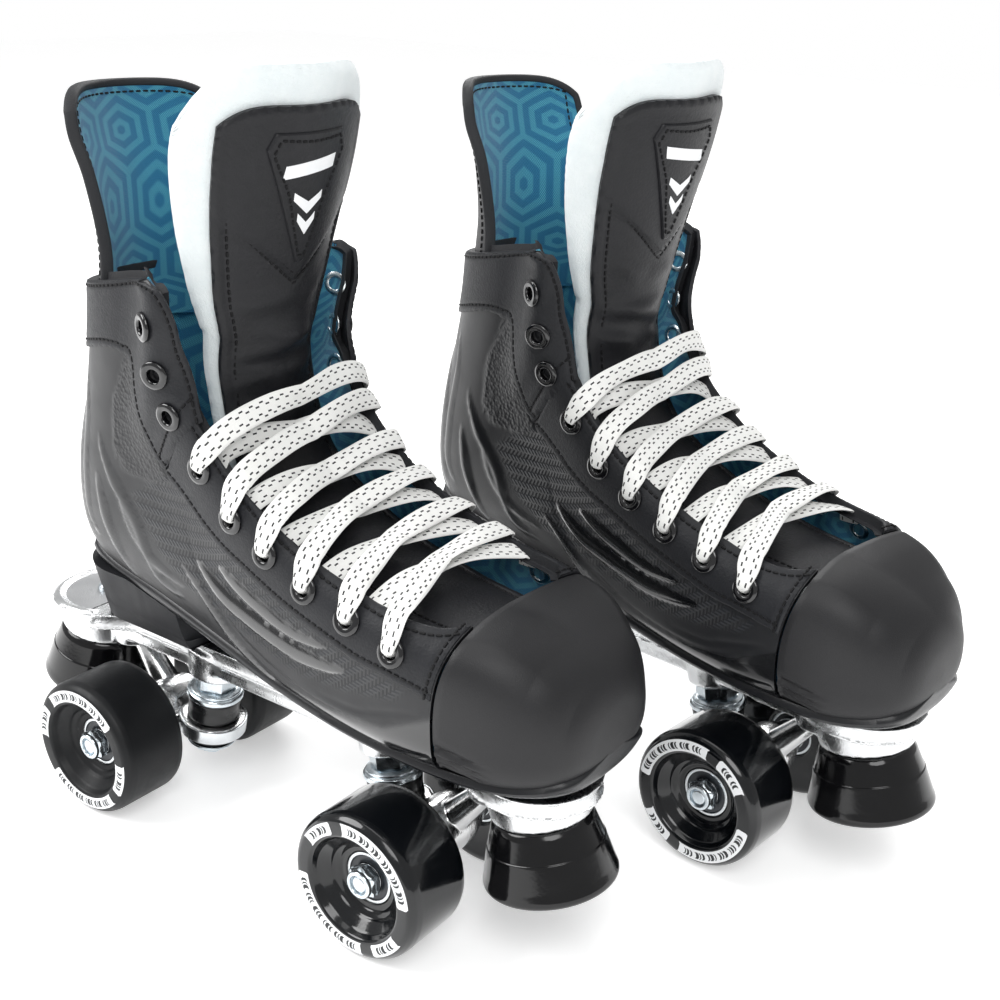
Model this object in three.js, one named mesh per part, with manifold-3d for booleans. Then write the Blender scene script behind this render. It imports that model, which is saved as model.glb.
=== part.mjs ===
// A pair of quad roller skates: a hockey-style boot on an aluminium plate with two
// steering trucks, four wheels, a toe stop and a heel stop, twice.
// Millimetres, +Z up. One skate is modelled in its own frame: the origin is on the floor
// midway between its axles, +Y runs to the heel and -X is the outer side of the right foot.
import * as THREE from 'three';
import { mergeVertices } from 'three/addons/utils/BufferGeometryUtils.js';
import Module from 'manifold-3d';

const wasm = await Module();
wasm.setup();

// ---------------------------------------------------------------- driving dimensions
const GAP = 0.3;                 // between two pieces that touch
const FACET_GAP = 1;             // between two curved skins with different facets
const WHEEL_RADIUS = 31;
const WHEEL_WIDTH = 33.5;
const WHEELBASE = 159;
const TRUCK_WIDTH = 112;         // over the outer faces of the two wheels of a truck
const SHELL_WALL = 4;            // boot upper with its lining
const CAP_WALL = 3;
const CAP_PROUD = 0.4;           // how far the moulded toe cap stands off the upper
const SOLE_THICKNESS = 2.2;
const FOOTBED_THICKNESS = 3;
const TONGUE_THICKNESS = 8;
const PLATE_TOP = 76.6;
const DECK_BOTTOM = 69;
const RAIL_BOTTOM = 62;
const RING_CENTRE = { y: 55.8, z: 30.5 };   // hanger ring, distance inboard of the middle
const PIVOT = { y: 103, z: 58 };            // tip of the hanger's pivot arm
const KINGPIN_TILT = THREE.MathUtils.degToRad(9.2);
const STOP_TILT = THREE.MathUtils.degToRad(12);
const STOP_TOP = { y: 128, z: 58 };
const LEFT_SKATE = { x: 144, y: -78.3, turn: THREE.MathUtils.degToRad(-5.78) };
const DEG = Math.PI / 180;

const AXLE_Y = WHEELBASE / 2;
const WHEEL_OUTER_X = TRUCK_WIDTH / 2;
const WHEEL_INNER_X = WHEEL_OUTER_X - WHEEL_WIDTH;

// ---------------------------------------------------------------- materials
const finish = (color, roughness, metalness = 0) =>
  new THREE.MeshStandardMaterial({ color, roughness, metalness });
const LEATHER = finish(0x1b1b1d, 0.55);
const MOULDED = finish(0x17181a, 0.4);
const FELT = finish(0xe9ecec, 0.95);
const LINING = finish(0x14708c, 0.85);
const LACE = finish(0xf2f2f0, 0.9);
const ALUMINIUM = finish(0xd3d5d6, 0.3, 1);
const STEEL = finish(0xb9bec2, 0.25, 1);
const CUSHION = finish(0x101011, 0.6);
const URETHANE = finish(0x0b0e13, 0.12);
const RUBBER = finish(0x0c0c0d, 0.2);

// ---------------------------------------------------------------- solid helpers
const add3 = (a, b) => a.clone().add(b);
const scaled = (v, s) => v.clone().multiplyScalar(s);

// A closed geometry from points and triangles, with coincident points merged.
function closedGeometry(points, triangles) {
  const raw = new THREE.BufferGeometry();
  raw.setAttribute('position', new THREE.Float32BufferAttribute(points.flatMap((p) => p.toArray()), 3));
  raw.setIndex(triangles.flat());
  const merged = mergeVertices(raw, 1e-4);
  const index = merged.getIndex().array;
  const kept = [];
  for (let i = 0; i < index.length; i += 3) {
    const [a, b, c] = [index[i], index[i + 1], index[i + 2]];
    if (a !== b && b !== c && c !== a) kept.push(a, b, c);
  }
  merged.setIndex(kept);
  return merged;
}

function toSolid(geometry) {
  const bare = geometry.clone();
  bare.deleteAttribute('normal');
  bare.deleteAttribute('uv');
  const merged = mergeVertices(bare, 1e-4);
  return new wasm.Manifold(new wasm.Mesh({
    numProp: 3,
    vertProperties: Float32Array.from(merged.getAttribute('position').array),
    triVerts: Uint32Array.from(merged.getIndex().array),
  }));
}

function toGeometry(solid) {
  const mesh = solid.getMesh();
  const geometry = new THREE.BufferGeometry();
  geometry.setAttribute('position', new THREE.BufferAttribute(Float32Array.from(mesh.vertProperties), 3));
  geometry.setIndex(new THREE.BufferAttribute(Uint32Array.from(mesh.triVerts), 1));
  return geometry;
}

const join = (...geometries) =>
  toGeometry(geometries.map(toSolid).reduce((whole, piece) => whole.add(piece)));
const cut = (geometry, ...tools) =>
  toGeometry(tools.map(toSolid).reduce((whole, tool) => whole.subtract(tool), toSolid(geometry)));

// A solid of revolution about the line through `from` towards `direction`; the profile
// lists [radius, distance along the line].
function turned(profile, from, direction, segments = 12) {
  const lathe = new THREE.LatheGeometry(profile.map(([r, h]) => new THREE.Vector2(r, h)), segments);
  const up = new THREE.Vector3(0, 1, 0);
  lathe.applyQuaternion(new THREE.Quaternion().setFromUnitVectors(up, direction.clone().normalize()));
  return lathe.translate(from.x, from.y, from.z);
}

// A rod or a ring between two distances along a line.
function rod(radius, start, end, from, direction, segments = 12) {
  return turned([[0, start], [radius, start], [radius, end], [0, end]], from, direction, segments);
}
function ring(inner, outer, start, end, from, direction, segments = 12) {
  const profile = [[inner, start], [outer, start], [outer, end], [inner, end], [inner, start]];
  return turned(profile, from, direction, segments);
}

// An extruded XY outline between two heights.
function slab(outline, bottom, top) {
  const options = { depth: top - bottom, bevelEnabled: false, curveSegments: 5 };
  return new THREE.ExtrudeGeometry(outline, options).translate(0, 0, bottom);
}

// A thick sheet: point(u, v, side) gives the outer (side 1) and inner (side 0) surface for
// u and v from 0 to 1. A ring sheet closes on itself along v. Cells that isCell(i, j)
// refuses are left open, and every edge of the sheet gets its wall.
function sheet(nu, nv, point, { isRing = false, isCell = () => true } = {}) {
  const points = [];
  const at = (i, j, side) => (side * (nu + 1) + i) * (nv + 1) + j;
  for (const side of [0, 1]) {
    for (let i = 0; i <= nu; i += 1) {
      for (let j = 0; j <= nv; j += 1) points.push(point(i / nu, j / nv, side));
    }
  }
  const exists = (i, j) => i >= 0 && i < nu && (isRing || (j >= 0 && j < nv)) && isCell(i, j);
  const triangles = [];
  const quad = (a, b, c, d) => triangles.push([a, b, c], [a, c, d]);
  const wall = (a, b) => quad(at(...a, 1), at(...b, 1), at(...b, 0), at(...a, 0));
  for (let i = 0; i < nu; i += 1) {
    for (let j = 0; j < nv; j += 1) {
      if (!exists(i, j)) continue;
      quad(at(i, j, 1), at(i + 1, j, 1), at(i + 1, j + 1, 1), at(i, j + 1, 1));
      quad(at(i, j, 0), at(i, j + 1, 0), at(i + 1, j + 1, 0), at(i + 1, j, 0));
      if (!exists(i - 1, j)) wall([i, j], [i, j + 1]);
      if (!exists(i + 1, j)) wall([i + 1, j + 1], [i + 1, j]);
      if (!exists(i, j - 1)) wall([i + 1, j], [i, j]);
      if (!exists(i, j + 1)) wall([i, j + 1], [i + 1, j + 1]);
    }
  }
  return closedGeometry(points, triangles);
}

// ---------------------------------------------------------------- boot surface
// The boot is a fan of sections from the toe tip (first row) to the collar (last row).
// Each section is a superellipse strung from a sole or heel point to a top or shin point:
// back y, back z, front y, front z, half width, centre x, height of the widest place (0 to 1),
// superellipse power below it and above it, half width of the throat opening.
const SECTIONS = [
  [-157, 102, -157, 102, 0, 3, 0.5, 2, 2, 0],
  [-156, 93, -156, 115, 17, 3, 0.46, 2.3, 2.2, 0],
  [-152, 86, -151, 125, 28, 3, 0.42, 2.6, 2.3, 0],
  [-143, 82, -141, 132, 37, 3, 0.4, 2.8, 2.4, 0],
  [-126, 80, -123, 138, 44, 3, 0.38, 3, 2.4, 0],
  [-100, 80, -97, 140, 47, 2, 0.38, 3, 2.3, 23],
  [-65, 80, -60, 146, 46, 1, 0.38, 2.8, 2.3, 25],
  [-25, 81, -24, 161, 43, 0, 0.42, 2.5, 2.5, 26],
  [20, 86, -4, 181, 41, 0, 0.46, 2.3, 2.5, 28],
  [60, 92, 2, 203, 40, 0, 0.48, 2.2, 2.6, 31],
  [97, 98, 0, 221, 40, 0, 0.5, 2.1, 2.6, 34],
  [111, 110, -3, 231, 41, 0, 0.5, 2.1, 2.6, 37],
  [114, 135, -5, 239, 42, 0, 0.5, 2.1, 2.6, 38],
  [106, 175, -7, 246, 43, 0, 0.5, 2.1, 2.6, 39],
  [98, 213, -8, 251, 44, 0, 0.5, 2.1, 2.6, 40],
  [96, 235, -9, 256, 44, 0, 0.5, 2.1, 2.6, 40],
];
const LAST = SECTIONS.length - 1;
const CAP_END = 4.7;             // where the toe cap stops along the fan
const SEAM = 0.02;               // half the gap behind the toe cap, along the fan
const SHANK_END = 10.9;          // where the outsole stops, low on the back of the heel

// Catmull-Rom value of one column at fan position t.
function column(t, k) {
  const clamped = Math.min(Math.max(t, 0), LAST - 1e-9);
  const i = Math.floor(clamped);
  const f = clamped - i;
  const row = (n) => SECTIONS[Math.min(Math.max(n, 0), LAST)][k];
  const [p0, p1, p2, p3] = [row(i - 1), row(i), row(i + 1), row(i + 2)];
  return 0.5 * (2 * p1 + (p2 - p0) * f + (2 * p0 - 5 * p1 + 4 * p2 - p3) * f * f
    + (3 * p1 - p0 - 3 * p2 + p3) * f * f * f);
}

// Point on the boot at fan position t; angle runs from 0 at the sole through 90 degrees at
// the side to 180 at the top, positive on the inner side of the foot.
function bootPoint(t, anyAngle) {
  const angle = Math.atan2(Math.sin(anyAngle), Math.cos(anyAngle));
  const c = [...Array(9).keys()].map((k) => column(t, k));
  const [backY, backZ, frontY, frontZ, halfWidth, centreX, widest, powerLow, powerHigh] = c;
  const isLow = Math.abs(angle) < Math.PI / 2;
  const power = isLow ? powerLow : powerHigh;
  const s = Math.abs(Math.sin(angle)) ** (2 / power);
  const co = Math.abs(Math.cos(angle)) ** (2 / power);
  const along = isLow ? widest * (1 - co) : widest + (1 - widest) * co;
  const point = new THREE.Vector3(
    centreX + Math.sign(angle) * halfWidth * s,
    backY + (frontY - backY) * along,
    backZ + (frontZ - backZ) * along,
  );
  return point.add(splayAt(t, angle, halfWidth * s));
}

// How the open facings stand away from the foot: rows of fan position and outward, y and z
// movement at the throat's edge. It fades to nothing at the side and at the middle line.
const SPLAY = [
  [0, 0, 0, 0], [2, 0, 0, 0], [3.2, 4, -1, 2], [4.7, 10, -6, 5], [6, 11, -7, 6], [7.5, 11, -6, 6],
  [9, 11, -2, 4], [11, 11, 2, 0], [13, 10, 6, -3], [15, 10, 8, -4],
];
const SPLAY_START = 88 * DEG;

function splayAt(t, angle, halfX) {
  const k = Math.max(1, SPLAY.findIndex((row) => row[0] >= t));
  const [before, after] = [SPLAY[k - 1], SPLAY[k]];
  const f = Math.min(Math.max((t - before[0]) / (after[0] - before[0]), 0), 1);
  const [x, y, z] = [1, 2, 3].map((c) => before[c] + (after[c] - before[c]) * f);
  const throat = Math.max(column(t, 9), 23);
  const limit = upperAngle(t, throat);
  const share = Math.min(Math.max((Math.abs(angle) - SPLAY_START) / (limit - SPLAY_START), 0), 1);
  const weight = Math.abs(angle) < limit ? share * share * (3 - 2 * share) : Math.min(halfX / throat, 1);
  return new THREE.Vector3(Math.sign(angle) * x, y, z).multiplyScalar(weight);
}

// The same point moved out along the surface normal by `grow`.
function bootOffset(t, angle, grow) {
  const step = 0.02;
  const safeT = Math.min(Math.max(t, 3 * step), LAST - 2 * step);
  const nearPole = Math.sin(angle) === 0 ? angle + 1e-3 : angle;
  const alongFan = bootPoint(safeT + step, nearPole).sub(bootPoint(safeT - step, nearPole));
  const around = bootPoint(safeT, nearPole + step).sub(bootPoint(safeT, nearPole - step));
  const normal = alongFan.cross(around).normalize();
  if (t < step) normal.set(0, -1, 0);
  return add3(bootPoint(t, angle), scaled(normal, grow));
}

// Angle at which the section reaches half width x above its widest place.
function upperAngle(t, x) {
  const ratio = Math.min(x / column(t, 4), 1);
  return Math.PI - Math.asin(ratio ** (column(t, 8) / 2));
}

// A sheet between two offsets of the boot, t0 to t1 along the fan and angle(t, v) across it.
function bootSheet(nu, nv, [t0, t1], angle, [inner, outer], options) {
  const point = (u, v, side) => {
    const t = t0 + (t1 - t0) * u;
    return bootOffset(t, angle(t, v), side ? outer : inner);
  };
  return sheet(nu, nv, point, options);
}
const across = (limit) => (t, v) => (2 * v - 1) * limit(t);

// `grow` makes the same shells thicker outward and closes the seam between them, as tools
// that trim their neighbours.
function bootShell(grow = 0) {
  const throat = across((t) => upperAngle(t, column(t, 9)));
  const ends = [CAP_END + (grow ? -SEAM : SEAM), LAST];
  return bootSheet(13, 14, ends, throat, [-SHELL_WALL, grow]);
}

function toeCap(grow = 0) {
  const wholeTurn = (t, v) => (2 * v - 1) * Math.PI;
  const ends = [0, CAP_END + (grow ? SEAM : -SEAM)];
  return bootSheet(6, 18, ends, wholeTurn, [-CAP_WALL, CAP_PROUD + grow], { isRing: true });
}

function outsole() {
  const edge = across((t) => (t < 7.5 ? 58 : 58 - 8 * (t - 7.5)) * DEG);
  const underside = CAP_PROUD + GAP + SOLE_THICKNESS;
  const slice = bootSheet(11, 6, [0.7, SHANK_END], edge, [-1, underside]);
  return cut(slice, bootShell(2 * GAP), toeCap(2 * GAP));
}

function footbed() {
  const edge = across(() => 48 * DEG);
  const underside = -SHELL_WALL - FACET_GAP;
  return bootSheet(9, 4, [1.6, 10.2], edge, [underside - FOOTBED_THICKNESS, underside]);
}

// Heel lift between the plate and the raised sole, trimmed to the sole's underside.
function heelWedge() {
  const outline = (halfWidth, front, back) => {
    const shape = new THREE.Shape();
    shape.moveTo(-halfWidth, front);
    shape.lineTo(halfWidth, front);
    shape.lineTo(halfWidth, back - halfWidth);
    shape.absarc(0, back - halfWidth, halfWidth, 0, Math.PI, false);
    return shape.getPoints(8);
  };
  const low = outline(19, 47, 112);
  const high = outline(29, 44, 116);
  const bottomZ = PLATE_TOP + GAP;
  const topZ = 106;
  const n = low.length;
  const points = [
    ...low.map((p) => new THREE.Vector3(p.x, p.y, bottomZ)),
    ...high.map((p) => new THREE.Vector3(p.x, p.y, topZ)),
  ];
  const triangles = THREE.ShapeUtils.triangulateShape(low, [])
    .flatMap(([a, b, c]) => [[a, c, b], [a + n, b + n, c + n]]);
  for (let i = 0; i < n; i += 1) {
    const next = (i + 1) % n;
    triangles.push([i, next, next + n], [i, next + n, i + n]);
  }
  const solid = closedGeometry(points, triangles);
  const underside = CAP_PROUD + GAP + SOLE_THICKNESS + 2 * FACET_GAP;
  const room = bootSheet(9, 10, [7, 11.9], across(() => 88 * DEG), [-20, underside]);
  return cut(solid, room);
}

// ---------------------------------------------------------------- tongue and tendon guard
const TONGUE_BASE_END = 9.0;

function tongueBase() {
  const top = -SHELL_WALL - 3.5 * FACET_GAP;
  const halfWidth = (t) => 27 + 0.6 * (t - 5);
  const angle = (t, v) => {
    const limit = Math.PI - upperAngle(t, halfWidth(t));
    return Math.PI + (2 * v - 1) * limit;
  };
  const point = (u, v, side) => {
    const t = CAP_END + 0.25 + (TONGUE_BASE_END - CAP_END - 0.25) * u;
    const a = angle(t, v);
    const wrapped = a > Math.PI ? a - 2 * Math.PI : a;
    return bootOffset(t, wrapped, side ? top : top - TONGUE_THICKNESS + 2);
  };
  return sheet(7, 6, point);
}

// A standing strip: rows of [front y, z, half width, how far its edges sit behind its middle].
// The top corners are rounded down by `corner` and the foot's corners are raised by `rise`.
function strip(rows, thickness, corner, rise) {
  const curve = (k) => new THREE.CatmullRomCurve3(rows.map((r) => new THREE.Vector3(r[k], r[1], 0)));
  const [ys, widths, bows] = [0, 2, 3].map(curve);
  const point = (u, v, side) => {
    const side1 = 2 * v - 1;
    const y = ys.getPoint(u);
    const halfWidth = widths.getPoint(u).x;
    const bow = bows.getPoint(u).x;
    const drop = corner * Math.abs(side1) ** 5 * Math.max(0, (u - 0.6) / 0.4) ** 2;
    const lift = rise * side1 ** 2 * (1 - u) ** 3;
    const slope = 2 * bow * side1 / halfWidth;
    const normal = new THREE.Vector3(-slope, 1, 0).normalize();
    const face = new THREE.Vector3(
      side1 * halfWidth,
      y.x + bow * side1 ** 2,
      y.y - drop + lift,
    );
    return add3(face, scaled(normal, side ? thickness : 0));
  };
  return sheet(rows.length + 2, 6, point);
}

function tongue() {
  return strip([
    [6.5, 209, 28, 13],
    [3, 225, 30, 16],
    [0, 245, 36, 18],
    [-4, 265, 42, 20],
    [-9, 290, 46, 20],
    [-15, 326, 46, 18],
  ], TONGUE_THICKNESS, 24, 0);
}

function tendonGuard() {
  const rows = [
    [92, 237.5, 36, -30],
    [91, 255, 34, -27],
    [92, 280, 36, -24],
    [95, 296, 37, -21],
    [97, 312, 36, -20],
  ];
  return strip(rows, SHELL_WALL, 8, 8);
}

// ---------------------------------------------------------------- laces
// Six bars over the throat, joined along both rows of eyelets.
const LACE_START = 5.25;         // along the fan
const LACE_END = 8.5;
const EYELET_X = 35;
const LACE_THICKNESS = 2.2;
const LACE_LIFT = 5.4;             // clear of the splayed facings and their facets

function laces() {
  const [rows, columns] = [11, 6];
  const point = (u, v, side) => {
    const t = LACE_START + (LACE_END - LACE_START) * u;
    const x = (1 - 2 * v) * EYELET_X;
    return bootOffset(t, Math.sign(x || 1) * upperAngle(t, Math.abs(x)), side ? LACE_LIFT + LACE_THICKNESS : LACE_LIFT);
  };
  const isCell = (i, j) => i % 2 === 0 || j === 0 || j === columns - 1;
  return sheet(rows, columns, point, { isCell });
}

// ---------------------------------------------------------------- plate and stops
const UP = new THREE.Vector3(0, 0, 1);
const ALONG_X = new THREE.Vector3(1, 0, 0);
const stopAxis = (end) => new THREE.Vector3(0, -end * Math.sin(STOP_TILT), Math.cos(STOP_TILT));
const kingpinAxis = (end) => new THREE.Vector3(0, -end * Math.sin(KINGPIN_TILT), Math.cos(KINGPIN_TILT));
const stopPoint = (end) => new THREE.Vector3(0, end * STOP_TOP.y, STOP_TOP.z);
const ringPoint = (end) => new THREE.Vector3(0, end * RING_CENTRE.y, RING_CENTRE.z);
const pivotPoint = (end) => new THREE.Vector3(0, end * PIVOT.y, PIVOT.z);
const HEX_TOP = 27.3;            // distance of the kingpin's hex above the ring centre

function plate() {
  const shape = new THREE.Shape();
  shape.moveTo(-19, 80);
  shape.bezierCurveTo(-19, 95, -27, 105, -27, 121);
  shape.absarc(0, 121, 27, Math.PI, 0, true);
  shape.bezierCurveTo(27, 105, 19, 95, 19, 80);
  shape.lineTo(19, -85);
  shape.bezierCurveTo(19, -98, 25, -105, 25, -125);
  shape.absarc(0, -125, 25, 0, Math.PI, true);
  shape.bezierCurveTo(-25, -105, -19, -98, -19, -85);
  const pieces = [slab(shape, DECK_BOTTOM, PLATE_TOP)];
  for (const side of [-1, 1]) {
    const rail = new THREE.BoxGeometry(4, 200, DECK_BOTTOM - RAIL_BOTTOM + 1);
    pieces.push(rail.translate(side * 15.5, 0, (DECK_BOTTOM + RAIL_BOTTOM + 1) / 2));
  }
  for (const end of [-1, 1]) {
    const axis = kingpinAxis(end);
    pieces.push(rod(13, HEX_TOP + GAP, 43, ringPoint(end), axis));
    pieces.push(rod(12, 57, DECK_BOTTOM + 1, new THREE.Vector3(0, end * 106, 0), UP));
    pieces.push(turned([[0, GAP], [20, GAP], [21.5, 12], [21.5, 13.5], [0, 13.5]], stopPoint(end), stopAxis(end), 16));
  }
  const tools = [];
  for (const end of [-1, 1]) {
    const axis = kingpinAxis(end);
    tools.push(rod(5.4, 20, 41, ringPoint(end), axis, 10));
    tools.push(new THREE.SphereGeometry(6.4, 10, 6).translate(0, end * PIVOT.y, PIVOT.z));
    const arm = pivotPoint(end).sub(axlePoint(end));
    tools.push(rod(6.4, -20, 0, pivotPoint(end), arm, 10));
  }
  return cut(join(...pieces), ...tools);
}

function stop(end) {
  const profile = [[0, 0], [19.5, 0], [20.5, -2], [26, -22], [27, -25], [26.2, -28], [0, -28]];
  return turned(profile.reverse(), stopPoint(end), stopAxis(end), 20);
}

// ---------------------------------------------------------------- trucks
function axlePoint(end) {
  return new THREE.Vector3(0, end * AXLE_Y, WHEEL_RADIUS);
}

function hanger(end) {
  const tilt = kingpinAxis(end);
  const ringBody = ring(8, 15.5, -3.5, 3.5, ringPoint(end), tilt, 16);
  const tube = turned([
    [0, -23.6], [7.2, -23.6], [7.2, -21], [12.5, -8], [12.5, 8], [7.2, 21], [7.2, 23.6], [0, 23.6],
  ], axlePoint(end), ALONG_X, 12);
  const arm = pivotPoint(end).sub(axlePoint(end));
  const neck = turned([[0, 0], [6.5, 0], [4.6, arm.length()], [0, arm.length()]], axlePoint(end), arm, 10);
  const tip = new THREE.SphereGeometry(5.4, 10, 6).translate(0, end * PIVOT.y, PIVOT.z);
  const outline = new THREE.Shape();
  const inboard = 11;
  outline.moveTo(-14, inboard);
  outline.lineTo(14, inboard);
  outline.lineTo(19, AXLE_Y - RING_CENTRE.y + 2);
  outline.lineTo(-19, AXLE_Y - RING_CENTRE.y + 2);
  const web = slab(outline, -3, 3);
  const turn = new THREE.Matrix4().makeRotationX(KINGPIN_TILT);
  web.applyMatrix4(turn).translate(0, RING_CENTRE.y, RING_CENTRE.z);
  if (end < 0) web.rotateZ(Math.PI);
  const bore = rod(4.5, -30, 30, axlePoint(end), ALONG_X, 10);
  return cut(join(ringBody, tube, neck, tip, web), bore);
}

function axle(end) {
  const nutRadius = 7.3;
  const shaft = rod(3.9, -WHEEL_OUTER_X + 4, WHEEL_OUTER_X - 4, axlePoint(end), ALONG_X, 10);
  const nuts = [-1, 1].map((side) => {
    const inner = side * (BEARING_OUTER_X + GAP);
    const outer = side * (WHEEL_OUTER_X - 3.5);
    const [start, stopAt] = side > 0 ? [inner, outer] : [outer, inner];
    return rod(nutRadius, start, stopAt, axlePoint(end), ALONG_X, 6);
  });
  return join(shaft, ...nuts);
}

function kingpin(end) {
  const at = ringPoint(end);
  const axis = kingpinAxis(end);
  return join(
    rod(4.9, -14.6, 39, at, axis, 10),
    rod(9.8, 18, HEX_TOP, at, axis, 6),
    turned([[0, 15.3], [13, 15.3], [12, 18.2], [0, 18.2]], at, axis),
    rod(11.5, -9.8, -8.3, at, axis),
    rod(8.2, -14.6, -9.7, at, axis, 6),
  );
}

const upperCushion = (end) => ring(5.4, 12, 3.8, 15, ringPoint(end), kingpinAxis(end));
const lowerCushion = (end) => ring(5.4, 11, -8, -3.8, ringPoint(end), kingpinAxis(end));

// ---------------------------------------------------------------- wheels
const BEARING_WIDTH = 7;
const BEARING_INNER_X = WHEEL_INNER_X + 1.6;
const BEARING_OUTER_X = BEARING_INNER_X + 2 * BEARING_WIDTH + 8;
const WHEEL_SEGMENTS = 18;

// Profiles run outward from the wheel's inner face; side 1 is the +X wheel of a truck.
function wheelAlong(profile, end, side, segments) {
  const ordered = side > 0 ? profile : profile.map(([r, h]) => [r, -h]).reverse();
  return turned(ordered, axlePoint(end), ALONG_X, segments);
}

function wheel(end, side) {
  const inner = WHEEL_INNER_X;
  const outer = WHEEL_OUTER_X;
  return wheelAlong([
    [11.4, inner], [28, inner], [31, inner + 4], [31, outer - 4.5], [28.2, outer],
    [22, outer], [14, outer - 9.5],
    [11.4, BEARING_OUTER_X], [11.4, BEARING_OUTER_X - BEARING_WIDTH - GAP],
    [9, BEARING_OUTER_X - BEARING_WIDTH - GAP], [9, BEARING_INNER_X + BEARING_WIDTH + GAP],
    [11.4, BEARING_INNER_X + BEARING_WIDTH + GAP], [11.4, inner],
  ], end, side, WHEEL_SEGMENTS);
}

// Two ball bearings with the spacer between them.
function bearings(end, side) {
  const [near, far] = [BEARING_INNER_X, BEARING_OUTER_X];
  return wheelAlong([
    [4.4, near], [11, near], [11, near + BEARING_WIDTH], [6, near + BEARING_WIDTH],
    [6, far - BEARING_WIDTH], [11, far - BEARING_WIDTH], [11, far], [4.4, far], [4.4, near],
  ], end, side, 10);
}

// ---------------------------------------------------------------- assembly
function skate(prefix) {
  const group = new THREE.Group();
  const put = (name, geometry, material) => {
    const mesh = new THREE.Mesh(geometry, material);
    mesh.name = `${prefix}_${name}`;
    group.add(mesh);
  };
  put('boot_shell', bootShell(), LEATHER);
  put('toe_cap', toeCap(), MOULDED);
  put('outsole', outsole(), MOULDED);
  put('footbed', footbed(), LINING);
  put('heel_wedge', heelWedge(), MOULDED);
  put('tendon_guard', tendonGuard(), LINING);
  put('tongue_base', tongueBase(), LEATHER);
  put('tongue', tongue(), FELT);
  put('laces', laces(), LACE);
  put('plate', plate(), ALUMINIUM);
  put('toe_stop', stop(-1), RUBBER);
  put('heel_stop', stop(1), RUBBER);
  for (const [place, end] of [['front', -1], ['rear', 1]]) {
    put(`${place}_hanger`, hanger(end), ALUMINIUM);
    put(`${place}_axle`, axle(end), STEEL);
    put(`${place}_kingpin`, kingpin(end), STEEL);
    put(`${place}_upper_cushion`, upperCushion(end), CUSHION);
    put(`${place}_lower_cushion`, lowerCushion(end), CUSHION);
    for (const [which, side] of [['outer', -1], ['inner', 1]]) {
      put(`${place}_${which}_wheel`, wheel(end, side), URETHANE);
      put(`${place}_${which}_bearings`, bearings(end, side), STEEL);
    }
  }
  return group;
}

const rightSkate = skate('right');
const leftSkate = skate('left');
leftSkate.scale.x = -1;
leftSkate.rotation.z = LEFT_SKATE.turn;
leftSkate.position.set(LEFT_SKATE.x, LEFT_SKATE.y, 0);

// The pair's origin is at the bottom centre of its box.
const pair = new THREE.Group();
pair.add(rightSkate, leftSkate);
pair.updateMatrixWorld(true);
const box = new THREE.Box3().setFromObject(pair, true);
pair.position.set(-(box.min.x + box.max.x) / 2, -(box.min.y + box.max.y) / 2, -box.min.z);

export default pair;
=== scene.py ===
import math

import bmesh
import bpy
import numpy as np
from mathutils import Matrix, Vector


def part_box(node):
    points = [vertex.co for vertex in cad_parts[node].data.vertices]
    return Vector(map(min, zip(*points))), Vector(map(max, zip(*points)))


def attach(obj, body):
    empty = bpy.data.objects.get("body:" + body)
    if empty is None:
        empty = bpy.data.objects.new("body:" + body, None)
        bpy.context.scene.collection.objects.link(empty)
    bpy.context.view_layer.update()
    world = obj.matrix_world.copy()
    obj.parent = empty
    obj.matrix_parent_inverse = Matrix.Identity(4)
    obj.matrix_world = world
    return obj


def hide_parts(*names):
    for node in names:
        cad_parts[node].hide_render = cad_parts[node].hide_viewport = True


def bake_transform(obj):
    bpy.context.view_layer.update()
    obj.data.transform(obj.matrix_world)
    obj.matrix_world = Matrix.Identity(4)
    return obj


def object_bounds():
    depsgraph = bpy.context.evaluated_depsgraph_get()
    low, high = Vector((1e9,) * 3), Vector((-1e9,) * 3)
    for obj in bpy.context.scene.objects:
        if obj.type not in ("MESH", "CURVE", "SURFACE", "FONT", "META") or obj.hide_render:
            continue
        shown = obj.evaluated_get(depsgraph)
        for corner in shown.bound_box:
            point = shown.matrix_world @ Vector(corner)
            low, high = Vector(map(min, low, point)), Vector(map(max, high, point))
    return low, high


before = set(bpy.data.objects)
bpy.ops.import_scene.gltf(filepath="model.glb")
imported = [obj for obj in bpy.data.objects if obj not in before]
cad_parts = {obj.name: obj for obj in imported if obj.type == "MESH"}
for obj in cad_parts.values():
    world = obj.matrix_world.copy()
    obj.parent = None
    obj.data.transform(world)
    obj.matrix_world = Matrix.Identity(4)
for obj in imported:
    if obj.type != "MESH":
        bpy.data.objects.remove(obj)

CAD_BOX = [[float(v) for v in corner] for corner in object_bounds()]
MM = 0.001
SIDES = ("right", "left")
ENDS = {"front": -1, "rear": 1}
WHEELS = {"outer": -1, "inner": 1}
UP = np.array([0.0, 0.0, 1.0])
ACROSS = np.array([1.0, 0.0, 0.0])


# ---------------------------------------------------------------- the two skates' own frames
def centre(node):
    """Middle of a CAD node's box."""
    return sum(np.array(corner, float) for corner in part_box(node)) / 2


def skate_axes(side):
    """Origin and X and Y directions of one skate, from the middles of its four wheels."""
    hub = {(end, which): centre(f"{side}_{end}_{which}_wheel") for end in ENDS for which in WHEELS}
    origin = sum(hub.values()) / 4 * [1, 1, 0]
    x = sum(WHEELS[which] * place for (end, which), place in hub.items())
    y = sum(ENDS[end] * place for (end, which), place in hub.items())
    return origin, x / np.linalg.norm(x), y / np.linalg.norm(y)


AXES = {side: skate_axes(side) for side in SIDES}


def to_world(side, points):
    """Points in a skate's frame in millimetres, as metres in the shared frame."""
    origin, x, y = AXES[side]
    p = np.asarray(points, float) * MM
    return origin + p[..., 0:1] * x + p[..., 1:2] * y + p[..., 2:3] * UP


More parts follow.
